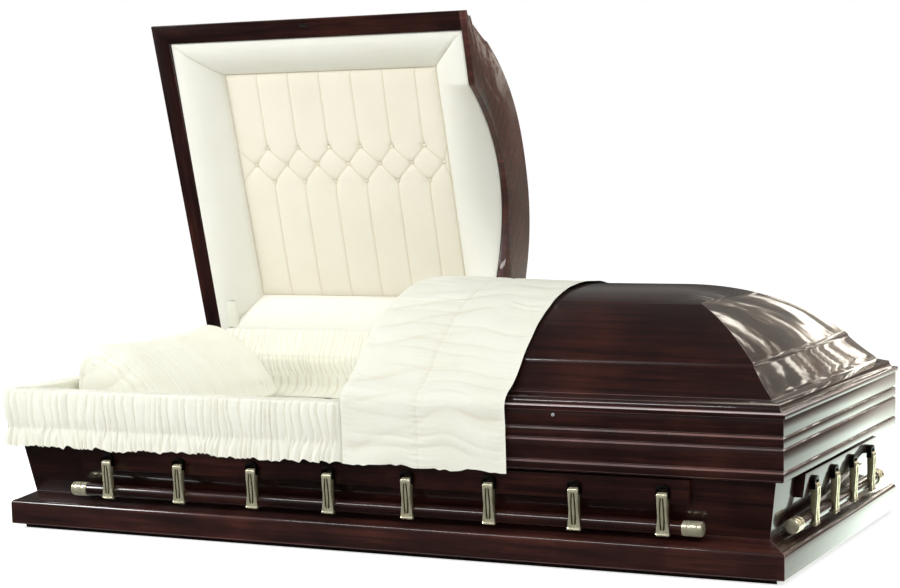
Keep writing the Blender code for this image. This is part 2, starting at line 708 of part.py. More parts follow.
def pillow():
    """A plump cushion that lies on the mattress and leans on the head end."""
    head = soft_box_limits(JOINT_Z)[0] - LINING_THICK - 0.006
    count_u, count_v = 10, 6
    bm = bmesh.new()
    sheets = []
    for face in (1, -1):
        rows = []
        for i in range(count_u + 1):
            u = 2 * i / count_u - 1
            row = []
            for j in range(count_v + 1):
                v = 2 * j / count_v - 1
                puff = PILLOW_THICK * ((1 - u ** 4) * (1 - v ** 4)) ** 0.6
                pull = 1 - 0.06 * (1 - abs(u) ** 2)
                along = (v * pull + 1) / 2
                x = -head + PILLOW_WIDE * along
                y = PILLOW_LONG / 2 * u * (1 - 0.05 * (1 - v ** 2))
                seam = PILLOW_HEAD_SEAM + (PILLOW_FOOT_SEAM - PILLOW_HEAD_SEAM) * along
                z = seam + face * puff * (0.45 if face > 0 else 0.9)
                row.append((x, y, max(z, MATTRESS_TOP + GAP)))
            rows.append(row)
        sheets.append(strip(bm, rows, False))
    return add_object("pillow", bm, IVORY, smooth=True)


def stay_cover():
    """Cloth sleeve over the stay, against the head lid's lining at its back head corner."""
    low_x = -LID_X + RIM_BOARD_WIDE + STAY_COVER_IN
    back = LID_Y - RIM_BOARD_WIDE
    near, far = [], []
    for step in range(5):
        inset = STAY_COVER_START + STAY_COVER_LONG * step / 4
        share = min((inset - BORDER_CLEAR) / BORDER_BACK_WIDE, (STAY_COVER_IN - BORDER_CLEAR) / BORDER_END_WIDE)
        face = JOINT_Z + border_height(share) - GAP * 2
        thick = STAY_COVER_THICK * (0.5 + 0.5 * math.sin(math.pi * step / 4))
        near.append((back - inset, face))
        far.append((back - inset, face - thick))
    outline = near + far[::-1]
    return sections("stay_cover", [[(x, y, z) for y, z in outline] for x in (low_x, low_x + STAY_COVER_WIDE)], IVORY)


def lids():
    head_end = HEAD_LID_END - RIB_THICK
    foot_start = FOOT_LID_END + RIB_THICK
    head = lid_shell("head_lid", -1, head_end - GAP)
    moving = [head, lid_rib("head_lid_rib", head_end), lid_border(), lid_panel(), stay_cover()]
    moving += catch(head)
    moving.append(hinge("head", -LID_X + HINGE_END_MARGIN, HEAD_LID_END - HINGE_END_MARGIN))
    tools = [obj for obj in bpy.data.objects if obj.name == "knuckles_head_lid"]
    hang(hinge_frame("head_lid_hinge", (0.0, HINGE_Y, HINGE_Z), (1, 0, 0), -LID_OPEN), moving + tools)
    moving = [lid_shell("foot_lid", 1, foot_start + GAP), lid_rib("foot_lid_rib", FOOT_LID_END), overlay()]
    moving.append(hinge("foot", FOOT_LID_END + HINGE_END_MARGIN, LID_X - HINGE_END_MARGIN))
    tools = [obj for obj in bpy.data.objects if obj.name == "knuckles_foot_lid"]
    hang(hinge_frame("foot_lid_hinge", (0.0, HINGE_Y, HINGE_Z), (1, 0, 0)), moving + tools)


base()
body()
lids()
lock_pin()
handle("front", "side", 0.0, BODY_Y)
handle("back", "side", math.pi, BODY_Y)
handle("foot", "end", math.pi / 2, BODY_X)
handle("head", "end", -math.pi / 2, BODY_X)
mattress()
side_lining()
skirt()
back_apron()
pillow()
bpy.context.view_layer.update()
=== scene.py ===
import math

import bpy
import numpy as np
from mathutils import Matrix


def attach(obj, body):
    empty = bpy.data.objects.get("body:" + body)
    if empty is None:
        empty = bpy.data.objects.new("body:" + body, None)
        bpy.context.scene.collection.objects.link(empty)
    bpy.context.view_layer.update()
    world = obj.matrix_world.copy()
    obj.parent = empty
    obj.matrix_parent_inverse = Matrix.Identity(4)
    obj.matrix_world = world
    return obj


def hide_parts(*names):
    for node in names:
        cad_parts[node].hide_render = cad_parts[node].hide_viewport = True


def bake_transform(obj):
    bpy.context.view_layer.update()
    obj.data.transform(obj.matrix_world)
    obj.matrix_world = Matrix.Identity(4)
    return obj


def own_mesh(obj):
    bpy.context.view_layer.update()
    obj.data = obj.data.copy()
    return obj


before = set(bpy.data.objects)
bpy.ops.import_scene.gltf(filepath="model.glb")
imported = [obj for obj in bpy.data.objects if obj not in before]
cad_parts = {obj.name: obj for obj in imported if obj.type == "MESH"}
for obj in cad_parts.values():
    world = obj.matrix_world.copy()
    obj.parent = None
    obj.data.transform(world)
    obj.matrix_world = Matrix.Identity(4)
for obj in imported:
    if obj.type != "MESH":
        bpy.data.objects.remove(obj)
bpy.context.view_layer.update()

# Camera, floor and light: the camera stands at the front towards the foot end. The floor is a white
# studio sheet. A strip and three softboxes light the whole and a narrow lamp the pillow; the two that
# stand over the casket don't show in the lacquer.
bpy.ops.object.camera_add(location=(2.2889, -4.5036, 0.9437),
                          rotation=(math.radians(83.6274), math.radians(1.173), math.radians(25.1135)))
camera = bpy.context.object
camera.data.lens = 80.7702
camera.data.shift_x = -0.06533
camera.data.shift_y = 0.08437
bpy.context.scene.camera = camera
bpy.context.scene.view_settings.view_transform = "Standard"


def node(tree, kind, sockets=None, **settings):
    """A shader node with its settings, and its sockets set to a value or linked from another socket."""
    made = tree.nodes.new("ShaderNode" + kind)
    for key, value in settings.items():
        setattr(made, key, value)
    for key, value in (sockets or {}).items():
        if isinstance(value, bpy.types.NodeSocket):
            tree.links.new(value, made.inputs[key])
        else:
            made.inputs[key].default_value = value
    return made


def ramp(tree, value, stops):
    """A colour by value, between stops of (position, red, green, blue) in rising order."""
    made = node(tree, "ValToRGB", {"Fac": value})
    for _ in stops[2:]:
        made.color_ramp.elements.new(0.5)
    for element, (position, *shade) in zip(made.color_ramp.elements, stops):
        element.position = position
        element.color = (*shade, 1)
    return made.outputs["Color"]


def calc(tree, operation, *terms):
    """The result of a Math node on sockets or numbers."""
    return node(tree, "Math", dict(enumerate(terms)), operation=operation).outputs[0]


def blended(tree, share, first, second):
    """A mix of two colours by a share from 0 to 1, each a socket or a constant."""
    return node(tree, "Mix", {"Factor": share, 6: first, 7: second}, data_type="RGBA").outputs[2]


def new_material(name, **sockets):
    """A material with constant values on its shader; returns it, its node tree and its shader."""
    made = bpy.data.materials.new(name)
    made.use_nodes = True
    shader = made.node_tree.nodes["Principled BSDF"]
    for key, value in sockets.items():
        shader.inputs[key.replace("_", " ")].default_value = value
    return made, made.node_tree, shader


bpy.ops.mesh.primitive_plane_add(size=60, location=(0, 0, 0))
floor = bpy.context.object
floor.name = "floor"
floor.visible_glossy = False
pale, tree, shader = new_material("pale_floor", Roughness=0.9, Specular_IOR_Level=0.1,
                                  Emission_Color=(1, 1, 1, 1))
FLOOR_GLOW = 0.72
glow = calc(tree, "MULTIPLY", node(tree, "LightPath").outputs["Is Camera Ray"], FLOOR_GLOW)
tree.links.new(glow, shader.inputs["Emission Strength"])
speck = node(tree, "TexNoise", {"Scale": 3.0, "Detail": 2.0}).outputs["Fac"]
tree.links.new(ramp(tree, speck, [(0, 0.84, 0.84, 0.84), (1, 0.88, 0.88, 0.88)]), shader.inputs["Base Color"])
floor.data.materials.append(pale)

# Only glossy rays see a room, which gives the lacquer its streaks: plain walls that vary with height and,
# towards the foot end and the back, a bright yard under broken panes of light.
world = bpy.data.worlds.new("studio")
world.use_nodes = True
bpy.context.scene.world = world
tree = world.node_tree
rays = node(tree, "LightPath").outputs
looking = node(tree, "TexCoord").outputs["Generated"]
way = node(tree, "SeparateXYZ", {"Vector": looking}).outputs
height = calc(tree, "MULTIPLY_ADD", way["Z"], 0.5, 0.5)
walls = ramp(tree, height, [(0.49, 0.02, 0.02, 0.02), (0.62, 0.20, 0.19, 0.18), (0.80, 0.07, 0.07, 0.07),
                            (1.0, 0.05, 0.05, 0.05)])
leaves = node(tree, "Mapping", {"Vector": looking, "Scale": (2.3, 2.3, 11.0)}).outputs[0]
panes = node(tree, "TexNoise", {"Vector": leaves, "Scale": 1.9, "Detail": 5.0, "Roughness": 0.62,
                                "Distortion": 0.5}).outputs["Fac"]
bright = ramp(tree, panes, [(0.49, 0.03, 0.03, 0.03), (0.54, 0.72, 0.56, 0.42), (0.60, 4.2, 4.0, 3.5)])
yard = ramp(tree, height, [(0.41, 1.9, 2.15, 1.9), (0.44, 0.85, 0.78, 0.68), (0.475, 0.15, 0.11, 0.09)])
rise = node(tree, "MapRange", {"Value": way["Z"], "From Min": 0.06, "From Max": 0.15}).outputs[0]
turned_by = calc(tree, "MULTIPLY", calc(tree, "ARCTAN2", way["Y"], way["X"]), 1 / math.pi)
behind = ramp(tree, turned_by, [(0.0, 0, 0, 0), (0.12, 1, 1, 1), (0.53, 1, 1, 1), (0.60, 0, 0, 0)])
room = blended(tree, behind, walls, blended(tree, rise, yard, bright))
lit = blended(tree, rays["Is Glossy Ray"], (0.385, 0.39, 0.385, 1), room)
seen = blended(tree, rays["Is Camera Ray"], lit, (1, 1, 1, 1))
tree.links.new(seen, tree.nodes["Background"].inputs["Color"])

for name, spot, aim, size, power in (
        ("strip_front", (-1.2, -3.4, 3.2), (-0.3, 0.0, 0.4), (3.8, 0.22), 60),
        ("softbox_left", (-4.2, -2.2, 2.4), (-0.4, 0.0, 0.4), (1.2, 1.2), 80),
        ("softbox_right", (3.6, -3.0, 3.0), (-0.4, 0.0, 0.4), (1.4, 1.4), 42),
        ("softbox_over", (1.3, -1.5, 3.4), (-0.8, 0.0, 0.4), (1.8, 1.8), 18),
        ("spot_pillow", (0.6, -0.9, 3.0), (-0.82, 0.0, 0.38), (0.5, 0.5), 0.85)):
    bpy.ops.object.light_add(type="AREA", location=spot)
    lamp = bpy.context.object
    lamp.name = name
    lamp.visible_glossy = name not in ("softbox_over", "spot_pillow")
    lamp.data.shape = "RECTANGLE"
    lamp.data.size, lamp.data.size_y = size
    lamp.data.energy = power
    lamp.data.spread = math.radians(30 if name == "spot_pillow" else 180)
    lamp.visible_camera = False
    away = np.array(spot) - np.array(aim)
    lamp.rotation_euler = (math.atan2(math.hypot(away[0], away[1]), away[2]), 0.0,
                           math.atan2(away[0], -away[1]))

# Base: a mitred frame moulding in dark lacquered mahogany, with a beaded edge and a sloping top,
# over a recessed foot board. The frame is glued up from four lengths.
LENGTH, WIDTH = 2.04, 0.932
OPEN = math.radians(75.4)
HINGE = (0.4824, 0.3694)


def mahogany(name, opened=False, light=1.0, rough=0.30, pale=0.0, coat=1.0):
    """Dark red lacquered wood. The grain runs along each board and turns at the mitres; on the raised head
    lid it is laid as on the closed one. light and pale make it paler; on the arris and nose copies that paler
    wood is a painted highlight along the edges."""
    made, tree, shader = new_material(name, Roughness=rough, Coat_Weight=coat, Coat_Roughness=0.035,
                                      Specular_IOR_Level=0.35)
    spots = node(tree, "TexCoord").outputs["Object"]
    if opened:
        turn = OPEN
        y, z = HINGE
        back = (0.0, y - math.cos(turn) * y + math.sin(turn) * z, z - math.sin(turn) * y - math.cos(turn) * z)
        spots = node(tree, "Mapping", {"Vector": spots, "Location": back,
                                       "Rotation": (turn, 0, 0)}).outputs[0]
    axes = node(tree, "SeparateXYZ", {"Vector": spots}).outputs
    past = calc(tree, "SUBTRACT", calc(tree, "ABSOLUTE", axes["X"]), calc(tree, "ABSOLUTE", axes["Y"]))
    end = calc(tree, "GREATER_THAN", past, (LENGTH - WIDTH) / 2)
    swapped = node(tree, "CombineXYZ", {"X": axes["Y"], "Y": axes["X"], "Z": axes["Z"]}).outputs[0]
    grain = node(tree, "Mix", {"Factor": end, 4: spots, 5: swapped}, data_type="VECTOR").outputs[1]
    stretched, plank, pores = [
        node(tree, "Mapping", {"Vector": grain, "Scale": (long, across, across)}).outputs[0]
        for long, across in ((1.6, 52.0), (0.5, 9.0), (9.0, 420.0))]
    streaks = node(tree, "TexNoise", {"Vector": stretched, "Scale": 1.6, "Detail": 7.0, "Roughness": 0.70,
                                      "Distortion": 0.9})
    figure = node(tree, "TexWave", {"Vector": plank, "Scale": 1.5, "Distortion": 5.0, "Detail": 3.0,
                                    "Detail Scale": 1.1, "Detail Roughness": 0.6},
                  bands_direction="DIAGONAL")
    cloudy = node(tree, "TexNoise", {"Vector": grain, "Scale": 3.4, "Detail": 4.0, "Roughness": 0.6})
    fine = node(tree, "TexNoise", {"Vector": pores, "Scale": 1.0, "Detail": 3.0, "Roughness": 0.7})
    veins = calc(tree, "POWER", figure.outputs["Fac"], 5.0)
    lined = calc(tree, "MULTIPLY_ADD", veins, -0.13, streaks.outputs["Fac"])
    mixed = node(tree, "Mix", {"Factor": 0.36, 2: lined, 3: fine.outputs["Fac"]},
                 data_type="FLOAT").outputs[0]
    total = calc(tree, "ADD", mixed, calc(tree, "MULTIPLY_ADD", cloudy.outputs["Fac"], 0.70, -0.33))
    tones = ((0.30, 0.0070, 0.0027, 0.0022), (0.50, 0.0205, 0.0056, 0.0043), (0.74, 0.060, 0.0155, 0.0105))
    tone = ramp(tree, total, [(at, *(channel * light + pale for channel in shade)) for at, *shade in tones])
    tree.links.new(tone, shader.inputs["Base Color"])
    bump = node(tree, "Bump", {"Height": fine.outputs["Fac"], "Strength": 0.10, "Distance": 0.0005})
    tree.links.new(bump.outputs["Normal"], shader.inputs["Normal"])
    return made


wood = mahogany("mahogany")
raised_wood = mahogany("mahogany_raised", opened=True)
pale_wood = mahogany("mahogany_rib", opened=True, light=3.6, rough=0.45, coat=0.35)
base_wood = mahogany("mahogany_base", light=1.7, pale=0.003)
# Paler copies for the bevelled arrises: a painted highlight along each eased edge and groove.
arris_highlight_wood = mahogany("mahogany_arris_highlight", light=4.0, rough=0.35, pale=0.085)
# A still paler copy for the foot lid's rounded nose: a painted highlight line along the rim.
nose_highlight_wood = mahogany("mahogany_nose_highlight", light=6.0, rough=0.25, pale=0.42)
raised_arris_highlight_wood = mahogany("mahogany_raised_arris_highlight", opened=True, light=3.0, rough=0.38, pale=0.01)


def only(piece):
    """Leaves this piece alone selected and active."""
    bpy.ops.object.mode_set(mode="OBJECT") if bpy.context.mode != "OBJECT" else None
    bpy.ops.object.select_all(action="DESELECT")
    piece.select_set(True)
    bpy.context.view_layer.objects.active = piece


def apply_modifiers(piece):
    only(piece)
    for modifier in list(piece.modifiers):
        bpy.ops.object.modifier_apply(modifier=modifier.name)


def close_up(piece, near=1e-5):
    """Merges coinciding points and points every face outwards."""
    only(piece)
    bpy.ops.object.mode_set(mode="EDIT")
    bpy.ops.mesh.select_all(action="SELECT")
    bpy.ops.mesh.remove_doubles(threshold=near)
    bpy.ops.mesh.dissolve_degenerate(threshold=near)
    bpy.ops.mesh.select_all(action="SELECT")
    bpy.ops.mesh.normals_make_consistent(inside=False)
    bpy.ops.object.mode_set(mode="OBJECT")


def extrude_all(piece, move):
    only(piece)
    bpy.ops.object.mode_set(mode="EDIT")
    bpy.ops.mesh.select_all(action="SELECT")
    bpy.ops.mesh.extrude_region_move(TRANSFORM_OT_translate={"value": move})
    bpy.ops.object.mode_set(mode="OBJECT")


def cut_out(name, outline, move):
    """A board of this outline, extruded by move."""
    bpy.ops.object.select_all(action="DESELECT")
    bpy.ops.mesh.primitive_circle_add(vertices=len(outline), fill_type="NGON")
    piece = bpy.context.object
    piece.name = piece.data.name = name
    for vert, spot in zip(piece.data.vertices, outline):
        vert.co = spot
    extrude_all(piece, move)
    close_up(piece)
    return piece


def copied(piece, place):
    """A copy of a piece, moved by a matrix."""
    only(piece)
    bpy.ops.object.duplicate()
    copy = bpy.context.object
    copy.data.transform(place)
    return copy


def joined(name, pieces):
    only(pieces[0])
    for piece in pieces[1:]:
        piece.select_set(True)
    bpy.ops.object.join()
    pieces[0].name = pieces[0].data.name = name
    return pieces[0]


def hand_over(piece, body_name, stands_for):
    """Says which body a piece moves with and which nodes it stands for."""
    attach(piece, body_name)
    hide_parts(*stands_for)


def moulding(name, points, half_x=LENGTH / 2, half_y=WIDTH / 2, ring=True, back=True):
    """A rectangle drawn at the profile's first (inset, height), extruded and scaled from point to point,
    so that its corners are mitred. ring leaves it open in the middle; back then joins the last point
    to the first."""
    inset, low = points[0]
    bpy.ops.object.select_all(action="DESELECT")
    bpy.ops.mesh.primitive_plane_add(size=2, location=(0, 0, low))
    piece = bpy.context.object
    piece.name = piece.data.name = name
    bpy.ops.object.transform_apply(location=True, rotation=True, scale=True)
    bpy.ops.object.mode_set(mode="EDIT")
    bpy.ops.transform.resize(value=(half_x - inset, half_y - inset, 1), center_override=(0, 0, 0))
    if ring:
        bpy.ops.mesh.delete(type="ONLY_FACE")
        bpy.ops.mesh.select_all(action="SELECT")
        points = points + points[:1] if back else points
    for (was, low), (now, high) in zip(points, points[1:]):
        grow = ((half_x - now) / (half_x - was), (half_y - now) / (half_y - was), 1)
        if ring:
            bpy.ops.mesh.extrude_edges_move(TRANSFORM_OT_translate={"value": (0, 0, high - low)})
        else:
            bpy.ops.mesh.extrude_region_move(TRANSFORM_OT_translate={"value": (0, 0, high - low)})
        bpy.ops.transform.resize(value=grow, center_override=(0, 0, 0))
    bpy.ops.object.mode_set(mode="OBJECT")
    return piece


def ease_edges(piece, finishes, wide=0.0010, steps=2, angle=28):
    """Eased and lacquered arrises, in the second finish where one is given, a paler wood that paints a
    highlight along each edge, and smooth shading between them.
    """
    for finish in finishes:
        piece.data.materials.append(finish)
    bevel = piece.modifiers.new("eased", "BEVEL")
    bevel.width = wide
    bevel.segments = steps
    bevel.angle_limit = math.radians(angle)
    bevel.harden_normals = False
    if len(finishes) > 1:
        bevel.material = 1
    apply_modifiers(piece)
    only(piece)
    bpy.ops.object.shade_smooth_by_angle(angle=math.radians(angle + 4))


def arc(centre, radius, start, end, steps):
    """Points of a round profile as (inset, height), with its angles in degrees."""
    turns = [math.radians(start + (end - start) * i / steps) for i in range(steps + 1)]
    return [(centre[0] + radius[0] * math.cos(t), centre[1] + radius[1] * math.sin(t)) for t in turns]


base_profile = [(0.002, 0.0123), (0.0, 0.0145), (0.0, 0.064)]
base_profile += arc((0.009, 0.064), (0.009, 0.0095), 180, 90, 6)[1:]
base_profile += [(0.012, 0.0748), (0.0464, 0.0911), (0.090, 0.0911), (0.090, 0.0123)]
base_moulding = moulding("base_frame", base_profile)
close_up(base_moulding)
ease_edges(base_moulding, [base_wood, arris_highlight_wood], 0.0008)
hand_over(base_moulding, "body", ["base_moulding"])
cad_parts["base_foot"].data.materials.clear()
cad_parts["base_foot"].data.materials.append(wood)

# Body: a box of boards that lean out to the band and stand upright above it, with its floor. The band
# is a mitred frame round the top, with three V grooves; the head half of its rim is rebated for cloth.
BASE_TOP, FLARE_TOP, JOINT = 0.0911, 0.2219, 0.3594
CLEAR, BOARD = 0.0003, 0.020


def cut(piece, low, high):
    """Cuts a box-shaped rebate out of a piece."""
    centre = [(a + b) / 2 for a, b in zip(low, high)]
    bpy.ops.mesh.primitive_cube_add(size=1, location=centre, scale=[b - a for a, b in zip(low, high)])
    cutter = bpy.context.object
    boolean = piece.modifiers.new("rebate", "BOOLEAN")
    boolean.object = cutter
    boolean.solver = "EXACT"
    apply_modifiers(piece)
    bpy.data.objects.remove(cutter, do_unlink=True)


flare = 0.0208
shell_x, shell_y = 0.9736, 0.4196
shell_profile = [(0.0, BASE_TOP + CLEAR), (-flare, FLARE_TOP), (-flare, JOINT - CLEAR),
                 (BOARD - flare, JOINT - CLEAR), (BOARD - flare, FLARE_TOP),
                 (BOARD - flare * 0.12, BASE_TOP + 0.0163)]
rebate = (-1.1, -0.6, JOINT - 0.010), (-0.0435, 0.6, JOINT + 0.01)
body_shell = moulding("body_boards", shell_profile, shell_x, shell_y, ring=False)
cut(body_shell, *rebate)
close_up(body_shell)
ease_edges(body_shell, [wood, arris_highlight_wood], 0.0008)
FACE_X, FACE_Y, BAND_THICK = 1.0194, 0.4654, 0.0252
band_profile = [(BAND_THICK, FLARE_TOP + CLEAR), (0.004, FLARE_TOP + CLEAR), (0.0, FLARE_TOP + 0.0043)]
for middle in (0.0232, 0.0728, 0.0978):
    band_profile += [(inset, FLARE_TOP + middle + up)
                     for inset, up in ((0.0, -0.0030), (0.0028, -0.0005), (0.0028, 0.0005), (0.0, 0.0030))]
band_profile += [(0.0, JOINT - CLEAR), (BAND_THICK, JOINT - CLEAR)]
body_band = moulding("body_band_frame", band_profile, FACE_X, FACE_Y)
close_up(body_band)
cut(body_band, *rebate)
close_up(body_band)
ease_edges(body_band, [wood, arris_highlight_wood], 0.0007)
# Upward faces below the rim, the grooves' lower faces among them, take the paler arris wood as a painted
# highlight.
for face in body_band.data.polygons:
    if face.normal.z > 0.4 and face.center.z < JOINT - 0.02:
        face.material_index = 1
for piece, stands_for in ((body_shell, "body_shell"), (body_band, "body_band")):
    hand_over(piece, "body", [stands_for])

# Lids: hollow domed shells, hipped at their outer ends, with a moulded edge. A board with an arched
# lower edge closes each one's middle end. The head lid stands open on its long hinge.
LID_X, LID_Y, LID_THICK = 1.0244, 0.4704, 0.018


def dome(inset):
    """Height of the dome over the rim plane, this far in from the lid's edge."""
    along = max((inset - 0.103) / (LID_Y - 0.103), 0.0)
    return 0.104 + 0.141 * (1 - max(1 - along, 0.0) ** 2.35)


edge_profile = [(0.0, 0.0), (0.0, 0.009)] + arc((0.003, 0.009), (0.003, 0.003), 180, 90, 3)[1:]
edge_profile += [(0.008, 0.012)] + arc((0.008, 0.0265), (0.010, 0.0145), -90, 0, 8)[1:]
edge_profile += [(0.0425, 0.0338), (0.043, 0.034), (0.0466, 0.0400), (0.047, 0.0405)]
edge_profile += [(0.047 + 0.052 * k / 6, 0.0405 + 0.054 * k / 6 - 0.0020 * math.sin(math.pi * k / 6))
                 for k in range(1, 6)] + [(0.0985, 0.0940), (0.099, 0.0945), (0.1008, 0.0998), (0.103, 0.104)]
dome_insets = [0.103 + (LID_Y - 0.103) * (k / 34) ** 1.25 for k in range(1, 34)] + [LID_Y]
lid_profile = edge_profile + [(inset, dome(inset)) for inset in dome_insets]
lid_hollow = [(0.0, 0.0), (0.050, 0.0), (0.050, 0.026)]
lid_hollow += [(inset, dome(inset) - LID_THICK) for inset in dome_insets]


def lid_form(name, end, keep_low):
    """Sweeps the outside and the hollow round the lid's rectangle from the rim up to the ridge, joins
    them and cuts the lid at its middle end."""
    piece = joined(name, [moulding(name, [(inset, JOINT + height) for inset, height in profile], LID_X, LID_Y,
                                   back=False) for profile in (lid_profile, lid_hollow)])
    close_up(piece)
    bpy.ops.object.mode_set(mode="EDIT")
    bpy.ops.mesh.select_all(action="SELECT")
    bpy.ops.mesh.bisect(plane_co=(end, 0, 0), plane_no=(1, 0, 0), use_fill=True, clear_outer=keep_low,
                        clear_inner=not keep_low)
    bpy.ops.object.mode_set(mode="OBJECT")
    return piece


rib_outline = [(inset - LID_Y, JOINT + height) for inset, height in lid_profile]
rib_outline += [(-y, z) for y, z in reversed(rib_outline[:-1])]
rib_outline += [((1 - k / 14) * 0.2754, JOINT + 0.112 * (1 - (1 - k / 14) ** 2)) for k in range(29)]


def raise_lid(piece):
    """Turns a piece of the head lid from its closed place to its open one."""
    y, z = HINGE
    turn = Matrix.Translation((0, y, z)) @ Matrix.Rotation(-OPEN, 4, "X") @ Matrix.Translation((0, -y, -z))
    piece.data.transform(turn)
    piece.data.update()


foot_lid = lid_form("foot_lid_shell", -0.0117, False)
foot_rib, head_rib = [
    cut_out(f"{side}_lid_rib_board", [(start, y, z) for y, z in rib_outline], (LID_THICK, 0, 0))
    for side, start in (("foot", -0.030), ("head", -0.066))]
head_lid = lid_form("head_lid_shell", -0.0663, True)
cut(head_lid, (-0.5473, -0.4589, JOINT - 0.002), (-0.5247, -0.4499, JOINT + 0.0023))
for piece, body_name, stands_for in (
        (foot_lid, "foot_lid", "foot_lid"), (foot_rib, "foot_lid", "foot_lid_rib"),
        (head_lid, "head_lid", "head_lid"), (head_rib, "head_lid", "head_lid_rib")):
    up = body_name == "head_lid"
    finishes = [pale_wood, raised_arris_highlight_wood] if piece == head_rib else [raised_wood, raised_arris_highlight_wood]
    ease_edges(piece, finishes if up else [wood, arris_highlight_wood, nose_highlight_wood], 0.0008)
    # The nose faces take the third finish, a painted highlight line along the lid's rim.
    if piece == foot_lid:
        for face in piece.data.polygons:
            if 0.0092 < face.center.z - JOINT < 0.0122 and face.normal.z > 0.15:
                face.material_index = 2
    if up:
        raise_lid(piece)
    hand_over(piece, body_name, [stands_for])

# Hinges, lock pin and catch: long dull steel hinges on the back, a bright steel pin in the band below the
# foot lid and a dull plate let into the head lid's rim.


def metal(name, metallic, scale, low, high, glosses):
    """A rubbed metal, its tone and gloss varied by a fine noise."""
    made, tree, shader = new_material(name, Metallic=metallic)
    rub = node(tree, "TexNoise", {"Vector": node(tree, "TexCoord").outputs["Object"], "Scale": scale,
                                  "Detail": 4.0}).outputs["Fac"]
    tree.links.new(ramp(tree, rub, [(0, *low), (1, *high)]), shader.inputs["Base Color"])
    gloss = node(tree, "MapRange", {"Value": rub, "To Min": glosses[0], "To Max": glosses[1]})
    tree.links.new(gloss.outputs[0], shader.inputs["Roughness"])
    return made


steel = metal("steel", 0.5, 240.0, (0.45, 0.46, 0.48), (0.85, 0.87, 0.90), (0.22, 0.45))
dull_steel = metal("dull_steel", 1.0, 240.0, (0.10, 0.09, 0.08), (0.24, 0.22, 0.19), (0.22, 0.45))
for name in ("pin_foot", "catch_head", "hinge_head_body", "hinge_head_lid", "hinge_foot_body",
             "hinge_foot_lid"):
    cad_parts[name].data.materials.clear()
    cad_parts[name].data.materials.append(steel if name == "pin_foot" else dull_steel)

# Handles: on each face a wooden board carries dark lugs, and cast brass arms hang in these and hold a
# round wooden bar with grooved metal caps. A bar swings up with its arms.
brass, tree, shader = new_material("antique_brass", Metallic=0.72)
rub = node(tree, "TexNoise", {"Vector": node(tree, "TexCoord").outputs["Object"], "Scale": 90.0,
                              "Detail": 5.0, "Roughness": 0.7}).outputs["Fac"]
hollow = node(tree, "Attribute", attribute_name="hollow").outputs["Fac"]
deep = calc(tree, "ADD", hollow, calc(tree, "MULTIPLY_ADD", rub, 0.45, -0.18))
patina = ramp(tree, deep, [(0.04, 0.95, 0.90, 0.66), (0.24, 0.66, 0.60, 0.36), (0.74, 0.050, 0.044, 0.024)])
tree.links.new(patina, shader.inputs["Base Color"])
gloss = node(tree, "MapRange", {"Value": deep, "To Min": 0.24, "To Max": 0.55})
tree.links.new(gloss.outputs[0], shader.inputs["Roughness"])
blackened = metal("blackened_metal", 0.9, 150.0, (0.004, 0.004, 0.004), (0.030, 0.028, 0.024), (0.25, 0.5))


def turned(name, profile, sides=40):
    """A round piece along X: a ring at the profile's first (x, radius), extruded and scaled along it."""
    x, radius = profile[0]
    bpy.ops.object.select_all(action="DESELECT")
    bpy.ops.mesh.primitive_circle_add(vertices=sides, radius=radius, fill_type="NGON", location=(x, 0, 0),
                                      rotation=(0, math.pi / 2, 0))
    piece = bpy.context.object
    piece.name = piece.data.name = name
    bpy.ops.object.transform_apply(location=True, rotation=True, scale=True)
    bpy.ops.object.mode_set(mode="EDIT")
    bpy.ops.mesh.select_all(action="SELECT")
    for (x, was), (ahead, now) in zip(profile, profile[1:]):
        bpy.ops.mesh.extrude_region_move(TRANSFORM_OT_translate={"value": (ahead - x, 0, 0)})
        bpy.ops.transform.resize(value=(1, now / was, now / was), center_override=(ahead, 0, 0))
    bpy.ops.object.mode_set(mode="OBJECT")
    close_up(piece, 1e-6)
    return piece


def coordinates(piece, kind="co"):
    found = np.empty(len(piece.data.vertices) * 3)
    piece.data.vertices.foreach_get(kind, found)
    return found.reshape(-1, 3)


def set_points(piece, spots, hollow=None):
    """Moves a piece's points. The fourth values are kept as a point attribute: painted shade in the cloth's
    creases and folds, patina in the brass flutes.
    """
    piece.data.vertices.foreach_set("co", spots.ravel())
    if hollow is not None:
        attribute = piece.data.attributes.new("hollow", "FLOAT", "POINT")
        attribute.data.foreach_set("value", hollow.astype(np.float32))
    piece.data.update()


def drawn(name, across, along, place):
    """A grid of this many faces whose points are set out by place(u, v), both from 0 to 1. A fourth value
    from place is kept as a point attribute: painted shade in cloth creases, patina in brass flutes."""
    bpy.ops.object.select_all(action="DESELECT")
    bpy.ops.mesh.primitive_grid_add(x_subdivisions=across, y_subdivisions=along, size=1)
    piece = bpy.context.object
    piece.name = piece.data.name = name
    u, v, _ = coordinates(piece).T + 0.5
    spots = np.stack(np.broadcast_arrays(*place(u, v)), 1)
    set_points(piece, spots[:, :3], spots[:, 3] if spots.shape[1] == 4 else None)
    bpy.ops.object.shade_smooth()
    return piece


def unit(value):
    """The value, kept between 0 and 1."""
    return np.clip(value, 0, 1)


def peak(away, wide):
    """1 at no distance away, falling off to nearly 0 at twice this width."""
    return np.exp(-(away / wide) ** 2)


BAR_RADIUS, SEAT, BAR_IN, BAR_DOWN, PIVOT_Z = 0.0155, 0.0163, 0.015, 0.073, 0.183
ARM_ACROSS, ARM_LONG = 28, 60


